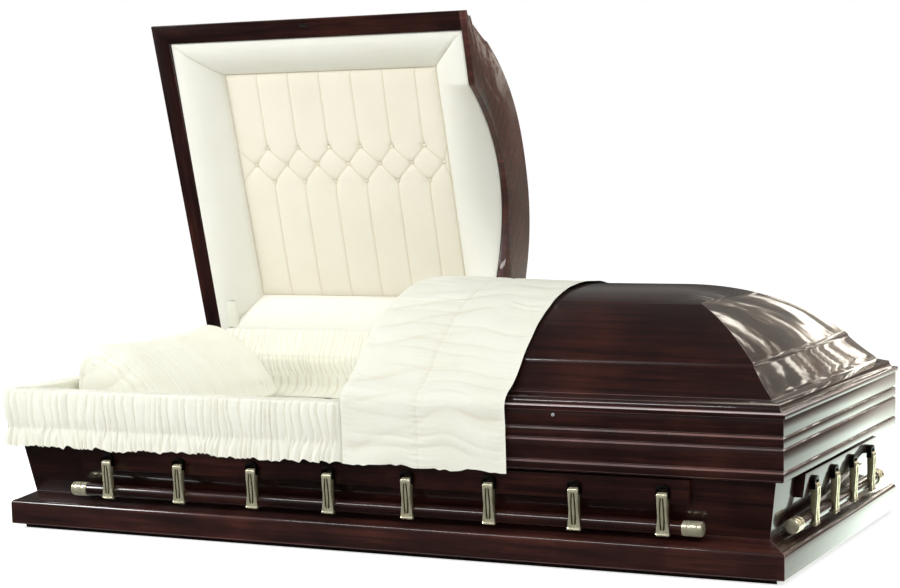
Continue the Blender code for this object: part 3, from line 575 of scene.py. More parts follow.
def arm_front(u, v):
    """An arm's face about its pivot: a rolled top, two long flutes round a diamond ridge, and a lip
    under the bar. u runs across it and v from top to bottom."""
    across = u * 2 - 1
    z = 0.0060 - v * 0.0965
    wide = np.interp(v, [0, 0.05, 0.25, 0.50, 0.68, 0.80, 0.97, 1.0],
                     [0.0104, 0.0125, 0.0118, 0.0109, 0.0122, 0.0142, 0.0154, 0.0148])
    out = np.interp(v, [0, 0.035, 0.09, 0.30, 0.50, 0.64, 0.72, 0.84, 0.93, 0.965, 1.0],
                    [0.0035, 0.0088, 0.0100, 0.0100, 0.0082, 0.0072, 0.0070, 0.0066, 0.0070, 0.0088, 0.0045])
    flute = 0.20 + 0.22 * np.sin(np.pi * unit((v - 0.10) / 0.80)) ** 1.2
    run = unit((v - 0.10) / 0.06) * unit((0.90 - v) / 0.06)
    groove = peak(np.abs(across) - flute, 0.13) * run
    rim = peak(np.abs(across) - 0.80, 0.16)
    crown = 0.0014 * (1 - across ** 2) + 0.0007 * rim - 0.0022 * groove
    return across * wide, -(out + crown), z, groove


def arm_piece(name):
    """One cast arm: its shaped face, drawn back to a flat rear that is hollowed where it seats the bar."""
    arm = drawn(name, ARM_ACROSS, ARM_LONG, lambda u, v: arm_front(u, v)[:3])
    count = len(arm.data.vertices)
    extrude_all(arm, (0, 0.004, 0))
    spots = coordinates(arm)
    rear = spots[count:]
    up = rear[:, 2] + BAR_DOWN
    seat = BAR_IN - np.sqrt(np.clip(SEAT ** 2 - up ** 2, 0, None))
    rear[:, 1] = np.minimum(np.where(np.abs(up) < SEAT, seat, 0.0060), 0.0060)
    rear[:, 1] = np.where(rear[:, 2] > 0.002, 0.004, rear[:, 1])
    rear[:, 1] = np.where(rear[:, 2] < -0.0875, 0.0015, rear[:, 1])
    rear[:, 0] *= 0.94
    rows, columns = np.divmod(np.arange(count), ARM_ACROSS + 1)
    grooves = np.full(len(spots), 0.55)
    grooves[:count] = arm_front(columns / ARM_ACROSS, rows / ARM_LONG)[3] * 1.15
    set_points(arm, spots, grooves)
    close_up(arm, 1e-7)
    bpy.ops.object.shade_smooth_by_angle(angle=math.radians(48))
    return arm


def lug_piece(name):
    """The dark lug that carries an arm: a cheek on each side of it and a rounded crown over it."""
    inner, outer = 0.0128, 0.0155
    outline = [(-outer, -0.008), (-inner, -0.008), (-inner, 0.0100)]
    outline += [(-inner * math.cos(t), 0.0090 + 0.0040 * math.sin(t))
                for t in np.linspace(0.3, math.pi - 0.3, 7)]
    outline += [(inner, 0.0100), (inner, -0.008), (outer, -0.008)]
    outline += [(outer * math.cos(t), 0.0120 + 0.0098 * math.sin(t)) for t in np.linspace(0.0, math.pi, 13)]
    lug = cut_out(name, [(x, 0.0065, z) for x, z in outline], (0, -0.0125, 0))
    ease_edges(lug, [blackened], 0.0006, 2, 40)
    return lug


first_arm = arm_piece("arm")
first_arm.data.materials.append(brass)
first_lug = lug_piece("lug")
CAP = [(-0.0470, 0.0150), (-0.0470, 0.0170), (-0.0462, 0.0175), (-0.0340, 0.0175), (-0.0332, 0.0170),
       (-0.0322, 0.0163), (-0.0312, 0.0170), (-0.0304, 0.0175), (-0.0110, 0.0175), (-0.0102, 0.0170),
       (-0.0092, 0.0163), (-0.0082, 0.0170), (-0.0074, 0.0175), (-0.0050, 0.0173), (-0.0032, 0.0160),
       (-0.0014, 0.0130), (-0.0003, 0.0080), (0.0, 0.0020)]
for side, turn, board_half, bar_half, count, margin, face in (
        ("front", 0.0, 0.807, 0.835, 8, 0.0755, shell_y), ("back", math.pi, 0.807, 0.835, 8, 0.0755, shell_y),
        ("foot", math.pi / 2, 0.295, 0.360, 4, 0.0595, shell_x),
        ("head", -math.pi / 2, 0.295, 0.360, 4, 0.0595, shell_x)):
    turning = Matrix.Rotation(turn, 4, "Z")
    pivot_out = face + flare * (0.0919 / 0.1308) + 0.022 + 0.007
    low, high = BASE_TOP + 0.0709, BASE_TOP + 0.1259
    bpy.ops.object.select_all(action="DESELECT")
    bpy.ops.mesh.primitive_cube_add(size=2)
    board = bpy.context.object
    board.name = board.data.name = f"handle_board_wood_{side}"
    for vert in board.data.vertices:
        z = high if vert.co.z > 0 else low
        lean = face + flare * (z - BASE_TOP) / 0.1308
        half = board_half - (0.006 if z == low else 0.0)
        vert.co = (half if vert.co.x > 0 else -half, -(lean + (0.0003 if vert.co.y > 0 else 0.022)), z)
    close_up(board)
    board.data.transform(turning)
    ease_edges(board, [wood], 0.0012)
    hand_over(board, "body", [f"handle_board_{side}"])
    bar = turned(f"bar_wood_{side}", [(-bar_half + 0.043, 0.0152), (-bar_half + 0.0445, BAR_RADIUS),
                                      (bar_half - 0.0445, BAR_RADIUS), (bar_half - 0.043, 0.0152)])
    bar.data.materials.append(wood)
    caps = turned(f"bar_caps_{side}", CAP)
    caps.data.transform(Matrix.Translation((bar_half, 0, 0)))
    caps = joined(f"bar_caps_{side}", [caps, copied(caps, Matrix.Rotation(math.pi, 4, "Z"))])
    caps.data.materials.clear()
    caps.data.materials.append(brass)
    body_name = f"{side}_bar"
    for piece, slot in ((bar, "mahogany"), (caps, "antique_brass")):
        piece.data.transform(turning @ Matrix.Translation((0, -(pivot_out - BAR_IN), PIVOT_Z - BAR_DOWN)))
        only(piece)
        bpy.ops.object.shade_smooth_by_angle(angle=math.radians(50))
        hand_over(piece, body_name, [f"bar_{side}"])
    reach = board_half - margin
    shift = (0.015 if count == 8 else 0.0) * math.cos(turn)
    places = [reach * (2 * i / (count - 1) - 1) + shift for i in range(count)]
    if math.cos(turn) < -0.5:
        places = places[::-1]
    lugs = []
    for index, place in enumerate(places):
        spot = turning @ Matrix.Translation((place, -pivot_out, PIVOT_Z))
        arm = copied(first_arm, spot)
        arm.name = arm.data.name = f"brass_arm_{side}_{index + 1}"
        hand_over(arm, body_name, [f"arm_{side}_{index + 1}"])
        lugs.append(copied(first_lug, spot))
    hand_over(joined(f"lugs_{side}", lugs), "body", [f"handle_board_{side}"])
for spare in (first_arm, first_lug):
    bpy.data.objects.remove(spare, do_unlink=True)

# Cloth: ivory crepe for the skirt, pillow, linings and overlay, and a slightly yellower velvet for the
# tufted panel. Each weave runs on the piece's own UV map, which is laid out in metres.


def cloth(name, color, shadow, weave=1400.0, crinkle=160.0, depth=0.35, sheen=0.25):
    """A soft fabric: fine crossed threads, a small crinkle, and painted shade, darker and warmer, in its
    folds and creases where the point attribute marks them.
    """
    made, tree, shader = new_material(name, Roughness=0.86, Sheen_Weight=sheen, Sheen_Roughness=0.4,
                                      Specular_IOR_Level=0.2)
    spots = node(tree, "TexCoord")
    metres = spots.outputs["UV"]
    warp, weft = [node(tree, "TexWave", {"Vector": metres, "Scale": weave / 6.3, "Distortion": 0.6,
                                         "Detail": 1.0}, bands_direction=axis) for axis in "XY"]
    small = node(tree, "TexNoise", {"Vector": spots.outputs["Object"], "Scale": crinkle, "Detail": 6.0,
                                    "Roughness": 0.65})
    broad = node(tree, "TexNoise", {"Vector": spots.outputs["Object"], "Scale": 9.0, "Detail": 4.0})
    threads = calc(tree, "MULTIPLY", warp.outputs["Fac"], weft.outputs["Fac"])
    relief = calc(tree, "MULTIPLY_ADD", threads, 0.45, small.outputs["Fac"])
    both = calc(tree, "MULTIPLY", calc(tree, "ADD", small.outputs["Fac"], broad.outputs["Fac"]), 0.5)
    tone = ramp(tree, both, [(0.32, *shadow), (0.58, *color)])
    # Painted shade: the point attribute darkens and warms the cloth in its creases and folds.
    hollow = node(tree, "Attribute", attribute_name="hollow").outputs["Fac"]
    painted_crease_shade = (0.70 * color[0], 0.60 * color[1], 0.45 * color[2], 1)
    tree.links.new(blended(tree, hollow, tone, painted_crease_shade), shader.inputs["Base Color"])
    bump = node(tree, "Bump", {"Height": relief, "Strength": depth, "Distance": 0.0012})
    tree.links.new(bump.outputs["Normal"], shader.inputs["Normal"])
    return made


ivory = cloth("ivory_crepe", (0.885, 0.885, 0.785), (0.85, 0.84, 0.72), sheen=0.1)
velvet = cloth("tufted_velvet", (0.88, 0.84, 0.71), (0.85, 0.80, 0.66), crinkle=320.0, depth=0.2, sheen=0.2)
plain = cloth("ivory_satin", (0.88, 0.875, 0.80), (0.86, 0.85, 0.765), crinkle=260.0, depth=0.15, sheen=0.15)


def lay_uv(piece, wide, long):
    """Scales the piece's UV map to metres."""
    layer = piece.data.uv_layers[0].data
    spots = np.empty(len(layer) * 2, np.float32)
    layer.foreach_get("uv", spots)
    spots = spots.reshape(-1, 2) * (wide, long)
    layer.foreach_set("uv", spots.ravel().astype(np.float32))


def wander(s, pitch, seed, row=0):
    """A smooth, irregular curve between -1 and 1 that turns about once every pitch."""
    values = np.random.default_rng(seed).uniform(-1, 1, 4999)
    at = np.asarray(s) / pitch + 200
    low = np.floor(at).astype(int)
    share = at - low
    share = share * share * (3 - 2 * share)
    first = values[(low * 31 + row * 173) % 4999]
    return first * (1 - share) + values[((low + 1) * 31 + row * 173) % 4999] * share


def patches(s, t, pitch_s, pitch_t, seed):
    """The same over a surface."""
    at = np.asarray(t) / pitch_t + 50
    low = np.floor(at).astype(int)
    share = at - low
    share = share * share * (3 - 2 * share)
    return wander(s, pitch_s, seed, low) * (1 - share) + wander(s, pitch_s, seed, low + 1) * share


def gathers(s, pitch, seed, sharp=0.65):
    """Rounded folds of uneven width and height side by side, with creases between them, from 0 to 1."""
    rng = np.random.default_rng(seed)
    low, high = float(np.min(s)), float(np.max(s))
    edges = low - pitch * 2 + np.cumsum(rng.uniform(0.55, 1.45, int((high - low) / pitch * 1.6) + 12) * pitch)
    heights = rng.uniform(0.55, 1.0, len(edges))
    index = np.clip(np.searchsorted(edges, s), 1, len(edges) - 1)
    share = unit((s - edges[index - 1]) / (edges[index] - edges[index - 1]))
    return heights[index] * np.sin(np.pi * share) ** sharp


def finish_cloth(piece, finish, body_name, stands_for):
    piece.data.materials.clear()
    piece.data.materials.append(finish)
    hand_over(piece, body_name, stands_for)


# Mattress: a flat pad in ivory crepe on the floor of the body, lightly quilted, with a rounded edge.
MATTRESS_TOP = 0.250


def mattress_face(u, v):
    half_x, half_y = 0.9497, 0.3957
    x, y = (u * 2 - 1) * half_x, (v * 2 - 1) * half_y
    edge = np.minimum(half_x - np.abs(x), half_y - np.abs(y))
    ease = unit(edge / 0.018)
    quilt = np.minimum(np.abs(np.sin(x * math.pi / 0.19)), np.abs(np.sin(y * math.pi / 0.19))) ** 0.5
    z = MATTRESS_TOP - 0.015 * (1 - np.sqrt(1 - (1 - ease) ** 2)) - 0.006 * (1 - quilt) * ease
    return x, y, z


mattress = drawn("mattress_pad", 150, 64, mattress_face)
lay_uv(mattress, 1.9, 0.8)
count = len(mattress.data.vertices)
extrude_all(mattress, (0, 0, -0.110))
for vert in mattress.data.vertices[count:]:
    vert.co.z = 0.1080
    vert.co.x *= 0.985
    vert.co.y *= 0.97
close_up(mattress)
bpy.ops.object.shade_smooth_by_angle(angle=math.radians(50))
finish_cloth(mattress, ivory, "body", ["mattress"])

# Pillow: a plump feather pillow in pleated crepe with a corded seam, leaning on the head end.
section = np.array([
    (-0.925, 0.262), (-0.942, 0.300), (-0.946, 0.360), (-0.940, 0.412), (-0.921, 0.447), (-0.895, 0.462),
    (-0.860, 0.457), (-0.793, 0.424), (-0.730, 0.366), (-0.682, 0.308), (-0.656, 0.272), (-0.672, 0.253),
    (-0.800, 0.2507), (-0.895, 0.2515), (-0.925, 0.262)])


def pillow_place(u, v):
    """u runs across the casket and v round the pillow's section."""
    share = np.cumsum(np.concatenate([[0], np.hypot(*np.diff(section, axis=0).T)]))
    x, z = [np.interp(v * share[-1], share, section[:, k]) for k in (0, 1)]
    y = np.sin((u * 2 - 1) * math.pi / 2)
    full = unit(1 - np.abs(y) ** 13) ** 0.5
    sag = 0.013 * np.cos(y * math.pi / 2) * unit((z - 0.38) / 0.06)
    z = z - sag + 0.005 * y * unit((z - 0.3) / 0.1)
    return -0.810 + (x + 0.810) * full, 0.318 * y, 0.340 + (z - 0.340) * full


PILLOW_END, SWELL = 0.304, 0.010
pillow = drawn("pillow_cushion", 220, 200, pillow_place)
close_up(pillow, 0.0003)
remesh = pillow.modifiers.new("remesh", "REMESH")
remesh.mode, remesh.voxel_size = "VOXEL", 0.0055
apply_modifiers(pillow)
stuffing = pillow.modifiers.new("stuffing", "CLOTH")
stuffing.settings.use_pressure = True
stuffing.settings.uniform_pressure_force = 4.0
stuffing.settings.effector_weights.gravity = 0.0
stuffing.point_cache.frame_end = 20
for step in range(1, 21):
    bpy.context.scene.frame_set(step)
start = coordinates(pillow)
swollen = coordinates(pillow.evaluated_get(bpy.context.evaluated_depsgraph_get()))
move = swollen - start
far = np.linalg.norm(move, axis=1)[:, None]
pillow.modifiers.clear()
set_points(pillow, start + move * np.minimum(1, SWELL / np.maximum(far, 1e-6)))
bpy.context.scene.frame_set(1)
finer = pillow.modifiers.new("finer", "SUBSURF")
finer.levels = finer.render_levels = 1
apply_modifiers(pillow)
spots, normals = coordinates(pillow), coordinates(pillow, "normal")
upper = unit((normals[:, 0] * 0.6 + normals[:, 2] * 0.8 - 0.35) / 0.3)
upper = upper * unit((0.302 - np.abs(spots[:, 1])) / 0.012)
x, y, z = spots.T
tuck = gathers(y + 0.010 * (x + 0.8) + 0.004 * wander(x, 0.08, 5), 0.0125, 6, 0.7)
bulge = 0.0035 * patches(x, y, 0.07, 0.09, 8)
rumple = (1 - upper) * 0.0022 * gathers(z - x * 0.5 + 0.02 * wander(y, 0.05, 7), 0.045, 9, 0.8)
cord = 0.0028 * peak(np.abs(y) - PILLOW_END, 0.0035) * (normals[:, 0] + normals[:, 2] > 0.2)
spots += normals * (0.0016 * upper * (tuck - 0.5) + bulge + rumple + cord)[:, None]
spots[:, 2] = np.maximum(spots[:, 2], MATTRESS_TOP + 0.0007)
spots[:, 0] = np.maximum(spots[:, 0], -0.9560)
# The fourth value is painted shade in the pleats' creases on the upper side and along the corded seam.
set_points(pillow, spots, 0.30 * upper * unit(1 - 2.4 * tuck)
           + 0.25 * peak(np.abs(y) - 0.299, 0.003))
only(pillow)
bpy.ops.object.shade_smooth()
finish_cloth(pillow, ivory, "body", ["pillow"])
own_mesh(pillow)

# Inside linings: shirred crepe tacked round the inside of the head half, and a shirred apron that
# covers the hinge from the body's back wall up to the raised lid's rim.
def lining_place(u, v):
    """Round the head half's inside, from the foot lid's end at the front to the same at the back."""
    front, side = 0.930, 0.800
    run = u * (front * 2 + side)
    fold = gathers(run + 0.002 * wander(v, 0.2, 3), 0.022, 11, 0.8)
    cove = np.interp(run, [front - 0.1, front, front + side, front + side + 0.1],
                     [0.056, 0.022, 0.022, 0.056])
    inset = 0.0020 + 0.0080 * fold * (0.3 + 0.7 * np.sin(np.pi * v)) + cove * unit(1 - v / 0.55) ** 2
    low, high = 0.2485, 0.3140
    z = low + (high - low) * v ** 1.3
    start, wall_x, wall_y = -0.031, 0.9737, 0.4197
    at_front, at_head = run < front, run < front + side
    x = np.where(at_front, start - run, np.where(at_head, -wall_x, start - (front * 2 + side - run)))
    y = np.where(at_front, -wall_y, np.where(at_head, -wall_y + (run - front) * wall_y * 2 / side, wall_y))
    x = np.maximum(x, -wall_x + inset)
    y = np.clip(y, -wall_y + inset, wall_y - inset)
    # The fourth value is painted shade in the creases between the gathers.
    return x, y, z, 0.6 * unit(1 - 2.6 * fold) * unit(v / 0.2)


lining = drawn("side_lining_cloth", 900, 18, lining_place)
lay_uv(lining, 2.66, 0.065)
finish_cloth(lining, ivory, "body", ["side_lining"])


def apron_place(u, v):
    x = -0.951 + 0.884 * u
    y = np.interp(v, [0, 0.20, 0.42, 0.53, 1.0], [0.4150, 0.4122, 0.4112, 0.4135, 0.4480])
    z = np.interp(v, [0, 0.42, 0.53, 1.0], [0.2980, 0.3494, 0.3600, 0.4270])
    tight = peak(v - 0.45, 0.05) + peak(v - 1.0, 0.06)
    fold = gathers(x + 0.010 * wander(v, 0.35, 21) + 0.006 * patches(x, v, 0.07, 0.4, 23), 0.0155, 22, 0.65)
    lift = 0.0065 * fold * (1 - 0.55 * unit(tight)) - 0.004
    # The fourth value is painted shade in the creases between the gathers.
    return x, y - lift * 0.93, z - lift * 0.3, 0.65 * unit(1 - 2.6 * fold)


apron = drawn("back_apron_cloth", 520, 36, apron_place)
lay_uv(apron, 0.884, 0.12)
apron.data.materials.clear()
apron.data.materials.append(ivory)
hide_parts("back_apron")
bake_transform(apron)

# Skirt: a strip of crepe drawn up over the head half's rim and gathered on a cord above its frilled
# hem. It hangs outside the band at the front and round the head end.
CORNER = 0.010
SKIRT_START, SKIRT_BACK = -0.045, 0.4154


def skirt_place(u, v):
    """u runs along the rim from the foot lid to the back corner, v from inside the body to the hem."""
    front = FACE_X - CORNER + SKIRT_START
    bend = CORNER * math.pi / 2
    head = FACE_Y - CORNER + SKIRT_BACK
    run = u * (front + bend + head)
    marks = np.array([0, 0.040, 0.046, 0.052, 0.094, 0.099, 0.105, 0.125, 0.150, 0.172, 0.188, 0.196,
                      0.204, 0.222, 0.243])
    outs = [-0.0478, -0.0478, -0.0465, -0.0420, -0.0060, 0.0015, 0.0060, 0.0095, 0.0100, 0.0085, 0.0058,
            0.0046, 0.0056, 0.0080, 0.0095]
    zs = [0.3150, 0.3510, 0.3560, 0.3580, 0.3584, 0.3570, 0.3520, 0.3330, 0.3080, 0.2860, 0.2700, 0.2625,
          0.2550, 0.2370, 0.2165]
    t = v * marks[-1]
    out, z = np.interp(t, marks, outs), np.interp(t, marks, zs)
    drift = 0.006 * wander(t, 0.09, 31) + 0.007 * patches(run, t, 0.06, 0.06, 32)
    big = gathers(run + drift, 0.0225, 33, 0.60)
    small = gathers(run + drift * 1.6, 0.0115, 34, 0.7)
    flute = gathers(run + drift * 1.3 + 0.006 * wander(run, 0.05, 38), 0.021, 35, 0.8)
    near_cord = peak(t - marks[11], 0.011)
    hang = unit((t - 0.088) / 0.02)
    frill = unit((t - 0.200) / 0.030)
    ease = 1 - unit((0.022 - run) / 0.016)
    loose = 0.62 + 0.38 * patches(run, t, 0.05, 0.07, 39)
    lift = hang * (0.0088 * big * loose * (1 - 0.60 * near_cord) * (1 - 0.6 * frill)
                   + 0.0028 * small * (0.45 + near_cord)) - 0.0040 * hang
    lift += frill * (0.0070 * flute - 0.0018)
    lift += 0.0012 * (1 - hang) * (big - 0.5)
    out = out + lift
    out = np.where(hang > 0.5, 0.0016 + np.maximum(out - 0.0016, 0) * ease, out)
    z = z + frill * (0.0050 * (flute - 0.6) + 0.0045 * wander(run, 0.017, 36) + 0.003 * wander(run, 0.05, 37))
    z = z - 0.0034 * np.sin(np.pi * unit((t - 0.040) / 0.066)) * (1 - big)
    z = np.minimum(z, 0.3588)
    shade = hang * unit(1 - 2.6 * big) * (1 - frill) + frill * unit(1 - 2.8 * flute)
    shade = shade + 0.35 * near_cord * unit(1 - 2.2 * small)
    shade = shade + 0.5 * (1 - hang) * unit(1 - 3 * big)
    turn = unit((run - front) / bend) * math.pi / 2
    reach = np.maximum(CORNER + out, 0.0)
    under = 0.013 * unit((t - 0.104) / 0.010) * peak(run, 0.012)
    x = np.where(run < front, SKIRT_START - run + under, -(FACE_X - CORNER) - reach * np.sin(turn))
    y = np.where(run < front, -FACE_Y - out, -(FACE_Y - CORNER) - reach * np.cos(turn))
    past = run > front + bend
    x = np.where(past, -FACE_X - out, x)
    y = np.where(past, -(FACE_Y - CORNER) + (run - front - bend), y)
    return np.maximum(x, -FACE_X - out), np.maximum(y, -FACE_Y - out), z, unit(shade) * 0.5


skirt = drawn("skirt_cloth", 1150, 78, skirt_place)
lay_uv(skirt, 1.85, 0.243)
finish_cloth(skirt, ivory, "body", ["skirt"])

# Overlay: a panel of crepe gathered on a seam down its middle, folded back from the inside over the
# foot lid's end. It lies over the dome and hangs in front of the band.
SEAM_X, HEM_X, EDGE_X = 0.155, 0.3785, -0.0450
over = [(-0.4704, 0.2120), (-0.4704, 0.2700), (-0.4715, 0.3200), (-0.4740, 0.3480), (-0.4750, 0.3640),
        (-0.4720, 0.3760), (-0.4600, 0.3880), (-0.4330, 0.4010), (-0.4040, 0.4240), (-0.3790, 0.4510),
        (-0.3650, 0.4660)]
over += [(inset - LID_Y, JOINT + dome(inset)) for inset in (0.125, 0.155, 0.19, 0.23, 0.28, 0.33, 0.38, 0.43)]
over += [(0.0, JOINT + 0.245)] + [(-y, z) for y, z in reversed(over[4:])][1:]
BACK_HEM = 0.425
over = np.array([point for point in over if point[0] < BACK_HEM])
lengths = np.concatenate([[0], np.cumsum(np.hypot(*np.diff(over, axis=0).T))])
OVER_LONG, OVER_WIDE, OVER_TUCK = float(lengths[-1]), 0.4235, 0.052


def overlay_place(u, v):
    """u runs from the tuck behind the lid's end to the right hem, v from the front hem to the back."""
    s = v * OVER_LONG
    fine = np.linspace(0, OVER_LONG, 400)
    smooth = [np.convolve(np.pad(np.interp(fine, lengths, over[:, k]), 4, "edge"), np.ones(9) / 9, "valid")
              for k in (0, 1)]
    slope = [np.gradient(line, fine) for line in smooth]
    size = np.hypot(*slope)
    y, z = np.interp(s, fine, smooth[0]), np.interp(s, fine, smooth[1])
    ny, nz = np.interp(s, fine, -slope[1] / size), np.interp(s, fine, slope[0] / size)
    across = u * (OVER_WIDE + OVER_TUCK) - OVER_TUCK
    x = EDGE_X + np.maximum(across, 0)
    hems = [np.exp(-np.abs(x - at) / wide) for at, wide in ((SEAM_X, 0.026), (HEM_X, 0.026), (-0.040, 0.024))]
    drift = 0.016 * wander(x, 0.12, 41) + 0.026 * patches(x, s, 0.11, 0.16, 42)
    slant = np.where(x < SEAM_X, 0.22 * (SEAM_X - x), -0.12 * (x - SEAM_X))
    broad = gathers(s + drift + slant, 0.085, 43, 0.85)
    middle = gathers(s + drift * 0.7 - slant * 0.6, 0.036, 44, 0.80)
    pucker = gathers(s + 0.004 * wander(x, 0.02, 45), 0.0115, 46, 0.8)
    near = unit(hems[0] + hems[1] + hems[2] * 0.8)
    hemmed = unit(np.minimum(HEM_X - x, x - EDGE_X) / 0.022)
    reach = unit(0.5 + 1.2 * patches(x, s, 0.11, 0.07, 50))
    swell = unit(0.55 + 1.1 * patches(x, s, 0.16, 0.10, 51))
    lift = 0.0092 * (broad - 0.40) * swell * (1 - 0.4 * hems[0]) + 0.0034 * (middle - 0.5) * reach
    lift = 0.0048 + hemmed * lift
    lift = lift + 0.0022 * (pucker - 0.5) * near * (0.35 + 0.65 * hemmed)
    lift = lift - 0.0016 * peak(x - SEAM_X, 0.006) + 0.0016 * peak(x - HEM_X, 0.0035)
    lift = lift + 0.009 * peak(s - 0.70, 0.13) * peak(x - 0.02, 0.12)
    shade = swell * 0.6 * unit(1 - 3.6 * broad) + 0.4 * reach * unit(1 - 3.2 * middle)
    shade = hemmed * shade + 0.45 * near * unit(1 - 2.6 * pucker)
    shade = shade + 0.2 * peak(x - SEAM_X, 0.0022)
    lift = np.maximum(lift, 0.0020)
    down = np.clip(-across, 0, None)
    tucked = np.interp(s, [0, 0.150, 0.190, 0.28], [0.03, 0.10, 0.5, 1.0])
    lift = np.where(across < 0, np.maximum(0.006 - down * tucked, -0.043 * tucked), lift)
    round_off = unit(1 - across / 0.010)
    lift = np.where(across >= 0, lift - 0.0030 * round_off ** 2, lift - 0.0030 * np.exp(-down / 0.01))
    x = x + np.where(across < 0, 0.0012 * middle, 0)
    x = x + np.where(across > 0.38, 0.0008 * wander(s, 0.04, 47), 0)
    drop = unit(1 - s / 0.03) * (0.0050 * wander(x, 0.05, 48) + 0.0020 * wander(x, 0.014, 49))
    return x, y + ny * lift, z + nz * lift + drop, unit(shade) * 0.55


overlay = drawn("overlay_cloth", 230, 400, overlay_place)
lay_uv(overlay, OVER_WIDE + OVER_TUCK, OVER_LONG)
finish_cloth(overlay, ivory, "foot_lid", ["overlay"])

# Head lid's lining: four padded rolls, mitred at the corners, round a tufted velvet panel. The panel's
# pleats run from its front and back edges to three rows of covered buttons with diamond folds between.
LEFT, RIGHT, FRONT, BACK = -0.9726, -0.0681, -0.4186, 0.4186
END_WIDE, FRONT_WIDE, BACK_WIDE = 0.120, 0.105, 0.082


def roll_place(u, v):
    """u runs round the four rolls from the front head corner, v from the rim over the roll's face to the
    panel and back behind it."""
    side = np.minimum((u * 4).astype(int), 3)
    along = u * 4 - side
    share = np.interp(v, [0, 0.62, 0.72, 0.86, 1.0], [0, 1, 1, 0.5, 0])
    behind = np.interp(v, [0.62, 0.70, 0.86, 1.0], [0, 0.012, 0.024, 0.018])
    past = 0.0312 * unit(1 - v / 0.62)
    low = 0.006 + 0.059 * share
    high = 0.065 * share - 0.005 * unit(1 - v / 0.62) + 0.006 * (v > 0.86)
    left, right = LEFT + END_WIDE * share, RIGHT - END_WIDE * share
    front, back = FRONT + FRONT_WIDE * share, BACK - BACK_WIDE * share + past
    corners = [(left, front, low, 0.020), (right, front, low, 0.020), (right, back, high, 0.024),
               (left, back, high, 0.024)]
    x, y, depth, plump = [sum(
        np.where(side == k, corners[k][axis] * (1 - along) + corners[(k + 1) % 4][axis] * along, 0)
        for k in range(4)) for axis in range(4)]
    length = np.where(side % 2 == 0, 0.78, 0.74)
    seam = np.minimum(along, 1 - along) * length
    rise = np.sin(np.pi * unit(share))
    mitre = 1 - 0.30 * peak(seam, 0.006) * rise
    soft = 0.0010 * wander(along * length, 0.09, 51) * rise * unit(seam / 0.03)
    depth = depth - plump * rise ** 0.75 * mitre + soft + behind
    arch = np.where(side == 1, 0.112 * np.clip(1 - (y / 0.2754) ** 2, 0, None) * (1 - share), 0)
    shade = 0.30 * peak(seam, 0.0022) + 0.20 * unit((share - 0.90) / 0.1)
    return x, y, JOINT + depth + arch, shade


rolls = drawn("lid_rolls", 640, 60, roll_place)
lay_uv(rolls, 3.0, 0.25)
close_up(rolls, 1e-4)
bpy.ops.object.shade_smooth()
raise_lid(rolls)
finish_cloth(rolls, plain, "head_lid", ["lid_border"])

upper_row = [(-0.7524 + 0.0992 * k, -0.0994) for k in range(6)]
middle_row = [(-0.7984 + 0.0992 * k, -0.0514) for k in range(7)]
lower_row = [(-0.7474 + 0.0986 * k, -0.0014) for k in range(6)]
buttons = upper_row + middle_row + lower_row
creases = [(spot, (spot[0] + 0.004, -0.3136)) for spot in upper_row]
creases += [(spot, (spot[0] - 0.004, 0.3366)) for spot in lower_row]
for row in (upper_row, lower_row):
    for k, spot in enumerate(row):
        creases += [(spot, middle_row[k]), (spot, middle_row[k + 1])]
creases += [(middle_row[0], (-0.8526, -0.0994)), (middle_row[0], (-0.8526, -0.0014)),
            (middle_row[6], (-0.1881, -0.0994)), (middle_row[6], (-0.1881, -0.0014))]


PANEL_X, PANEL_Y = (-0.8522, -0.1885), (-0.3132, 0.3362)


def panel_place(u, v):
    x = PANEL_X[0] + (PANEL_X[1] - PANEL_X[0]) * u
    y = PANEL_Y[0] + (PANEL_Y[1] - PANEL_Y[0]) * v
    nearest = np.full(len(x), 9.0)
    for (ax, ay), (bx, by) in creases:
        wx, wy = bx - ax, by - ay
        share = unit(((x - ax) * wx + (y - ay) * wy) / (wx * wx + wy * wy))
        nearest = np.minimum(nearest, np.hypot(x - ax - wx * share, y - ay - wy * share))
    tied, star = np.full(len(x), 9.0), np.zeros(len(x))
    for bx, by in buttons:
        far = np.hypot(x - bx, y - by)
        star = np.where(far < tied, np.cos(9 * np.arctan2(y - by, x - bx)), star)
        tied = np.minimum(tied, far)
    edge = np.minimum.reduce([x - PANEL_X[0], PANEL_X[1] - x, y - PANEL_Y[0], PANEL_Y[1] - y])
    inner = 1 - np.exp(-edge / 0.012)
    pull = 0.0080 * np.exp(-(tied / 0.011) ** 1.1) + 0.0018 * np.exp(-(nearest / 0.0026) ** 1.3)
    pull = pull + 0.0012 * star * np.exp(-tied / 0.014) * unit(tied / 0.004)
    belly = 0.0010 * (1 - np.exp(-nearest / 0.012))
    depth = 0.0648 - inner * (0.0060 + belly) + inner * pull
    shade = 0.42 * peak(nearest, 0.0019) + 0.45 * peak(tied, 0.006)
    shade = shade + 0.35 * (edge < 0.003)
    return x, y, JOINT + depth, unit(shade)


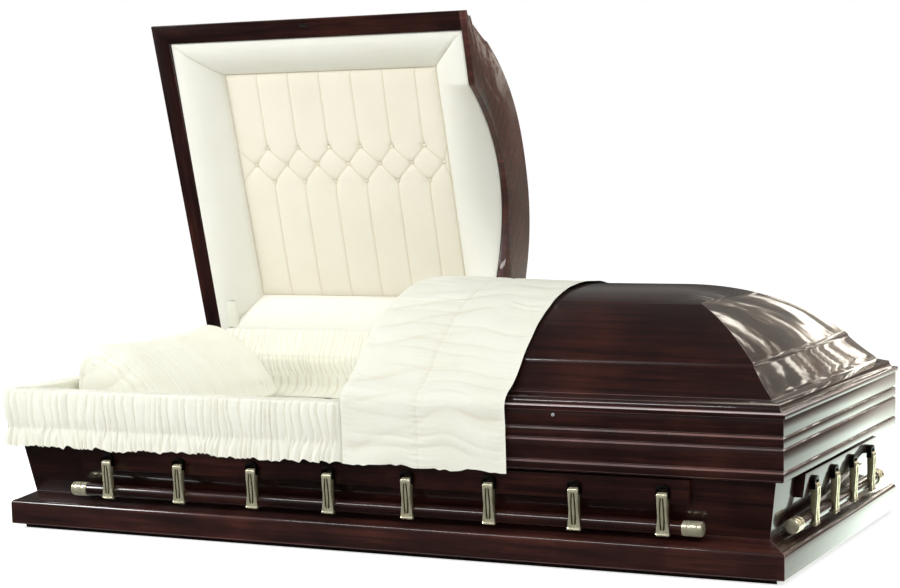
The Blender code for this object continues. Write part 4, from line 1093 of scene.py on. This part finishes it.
panel = drawn("lid_tufted_panel", 400, 210, panel_place)
lay_uv(panel, 0.664, 0.65)
count = len(panel.data.vertices)
extrude_all(panel, (0, 0, 0.010))
for vert in panel.data.vertices[count:]:
    vert.co.z = JOINT + 0.0770
close_up(panel)
bpy.ops.object.shade_smooth_by_angle(angle=math.radians(60))
raise_lid(panel)
finish_cloth(panel, velvet, "head_lid", ["lid_panel"])

bpy.ops.object.select_all(action="DESELECT")
bpy.ops.mesh.primitive_uv_sphere_add(segments=14, ring_count=8, radius=0.0042)
knob = bpy.context.object
knob.data.transform(Matrix.Diagonal((1, 1, 0.5, 1)))
knobs = [copied(knob, Matrix.Translation((bx, by, JOINT + 0.0640))) for bx, by in buttons]
bpy.data.objects.remove(knob, do_unlink=True)
button_set = joined("lid_buttons", knobs)
bpy.ops.object.shade_smooth()
raise_lid(button_set)
finish_cloth(button_set, velvet, "head_lid", ["lid_panel"])

# Stay cover: a shirred crepe sleeve over the stay, at the raised lid's back head corner.
def stay_place(u, v):
    """u runs round the sleeve and v up it."""
    turn = u * 2 * math.pi
    inset = 0.008 + 0.078 * v
    swell = np.sin(np.pi * np.clip(v, 0.02, 0.98)) ** 0.5
    fold = gathers(u, 0.11, 61, 0.8)
    half, thick = 0.0210 * (0.70 + 0.30 * swell), 0.0078 * (0.5 + 0.5 * swell)
    x = -0.9294 + np.cos(turn) * half * (1 + 0.06 * fold)
    share = np.minimum((inset - 0.0018) / BACK_WIDE, 0.19)
    face = 0.006 + 0.059 * share - 0.016 * np.sin(np.pi * share)
    return x, BACK + 0.0018 - inset, JOINT + face - 0.0070 + np.sin(turn) * thick * (1 + 0.15 * fold)


stay = drawn("stay_sleeve", 60, 40, stay_place)
lay_uv(stay, 0.1, 0.08)
close_up(stay, 1e-5)
bpy.ops.object.mode_set(mode="EDIT")
bpy.ops.mesh.select_all(action="DESELECT")
bpy.ops.mesh.select_non_manifold()
bpy.ops.mesh.fill_holes(sides=0)
bpy.ops.object.mode_set(mode="OBJECT")
bpy.ops.object.shade_smooth_by_angle(angle=math.radians(60))
raise_lid(stay)
finish_cloth(stay, ivory, "head_lid", ["stay_cover"])
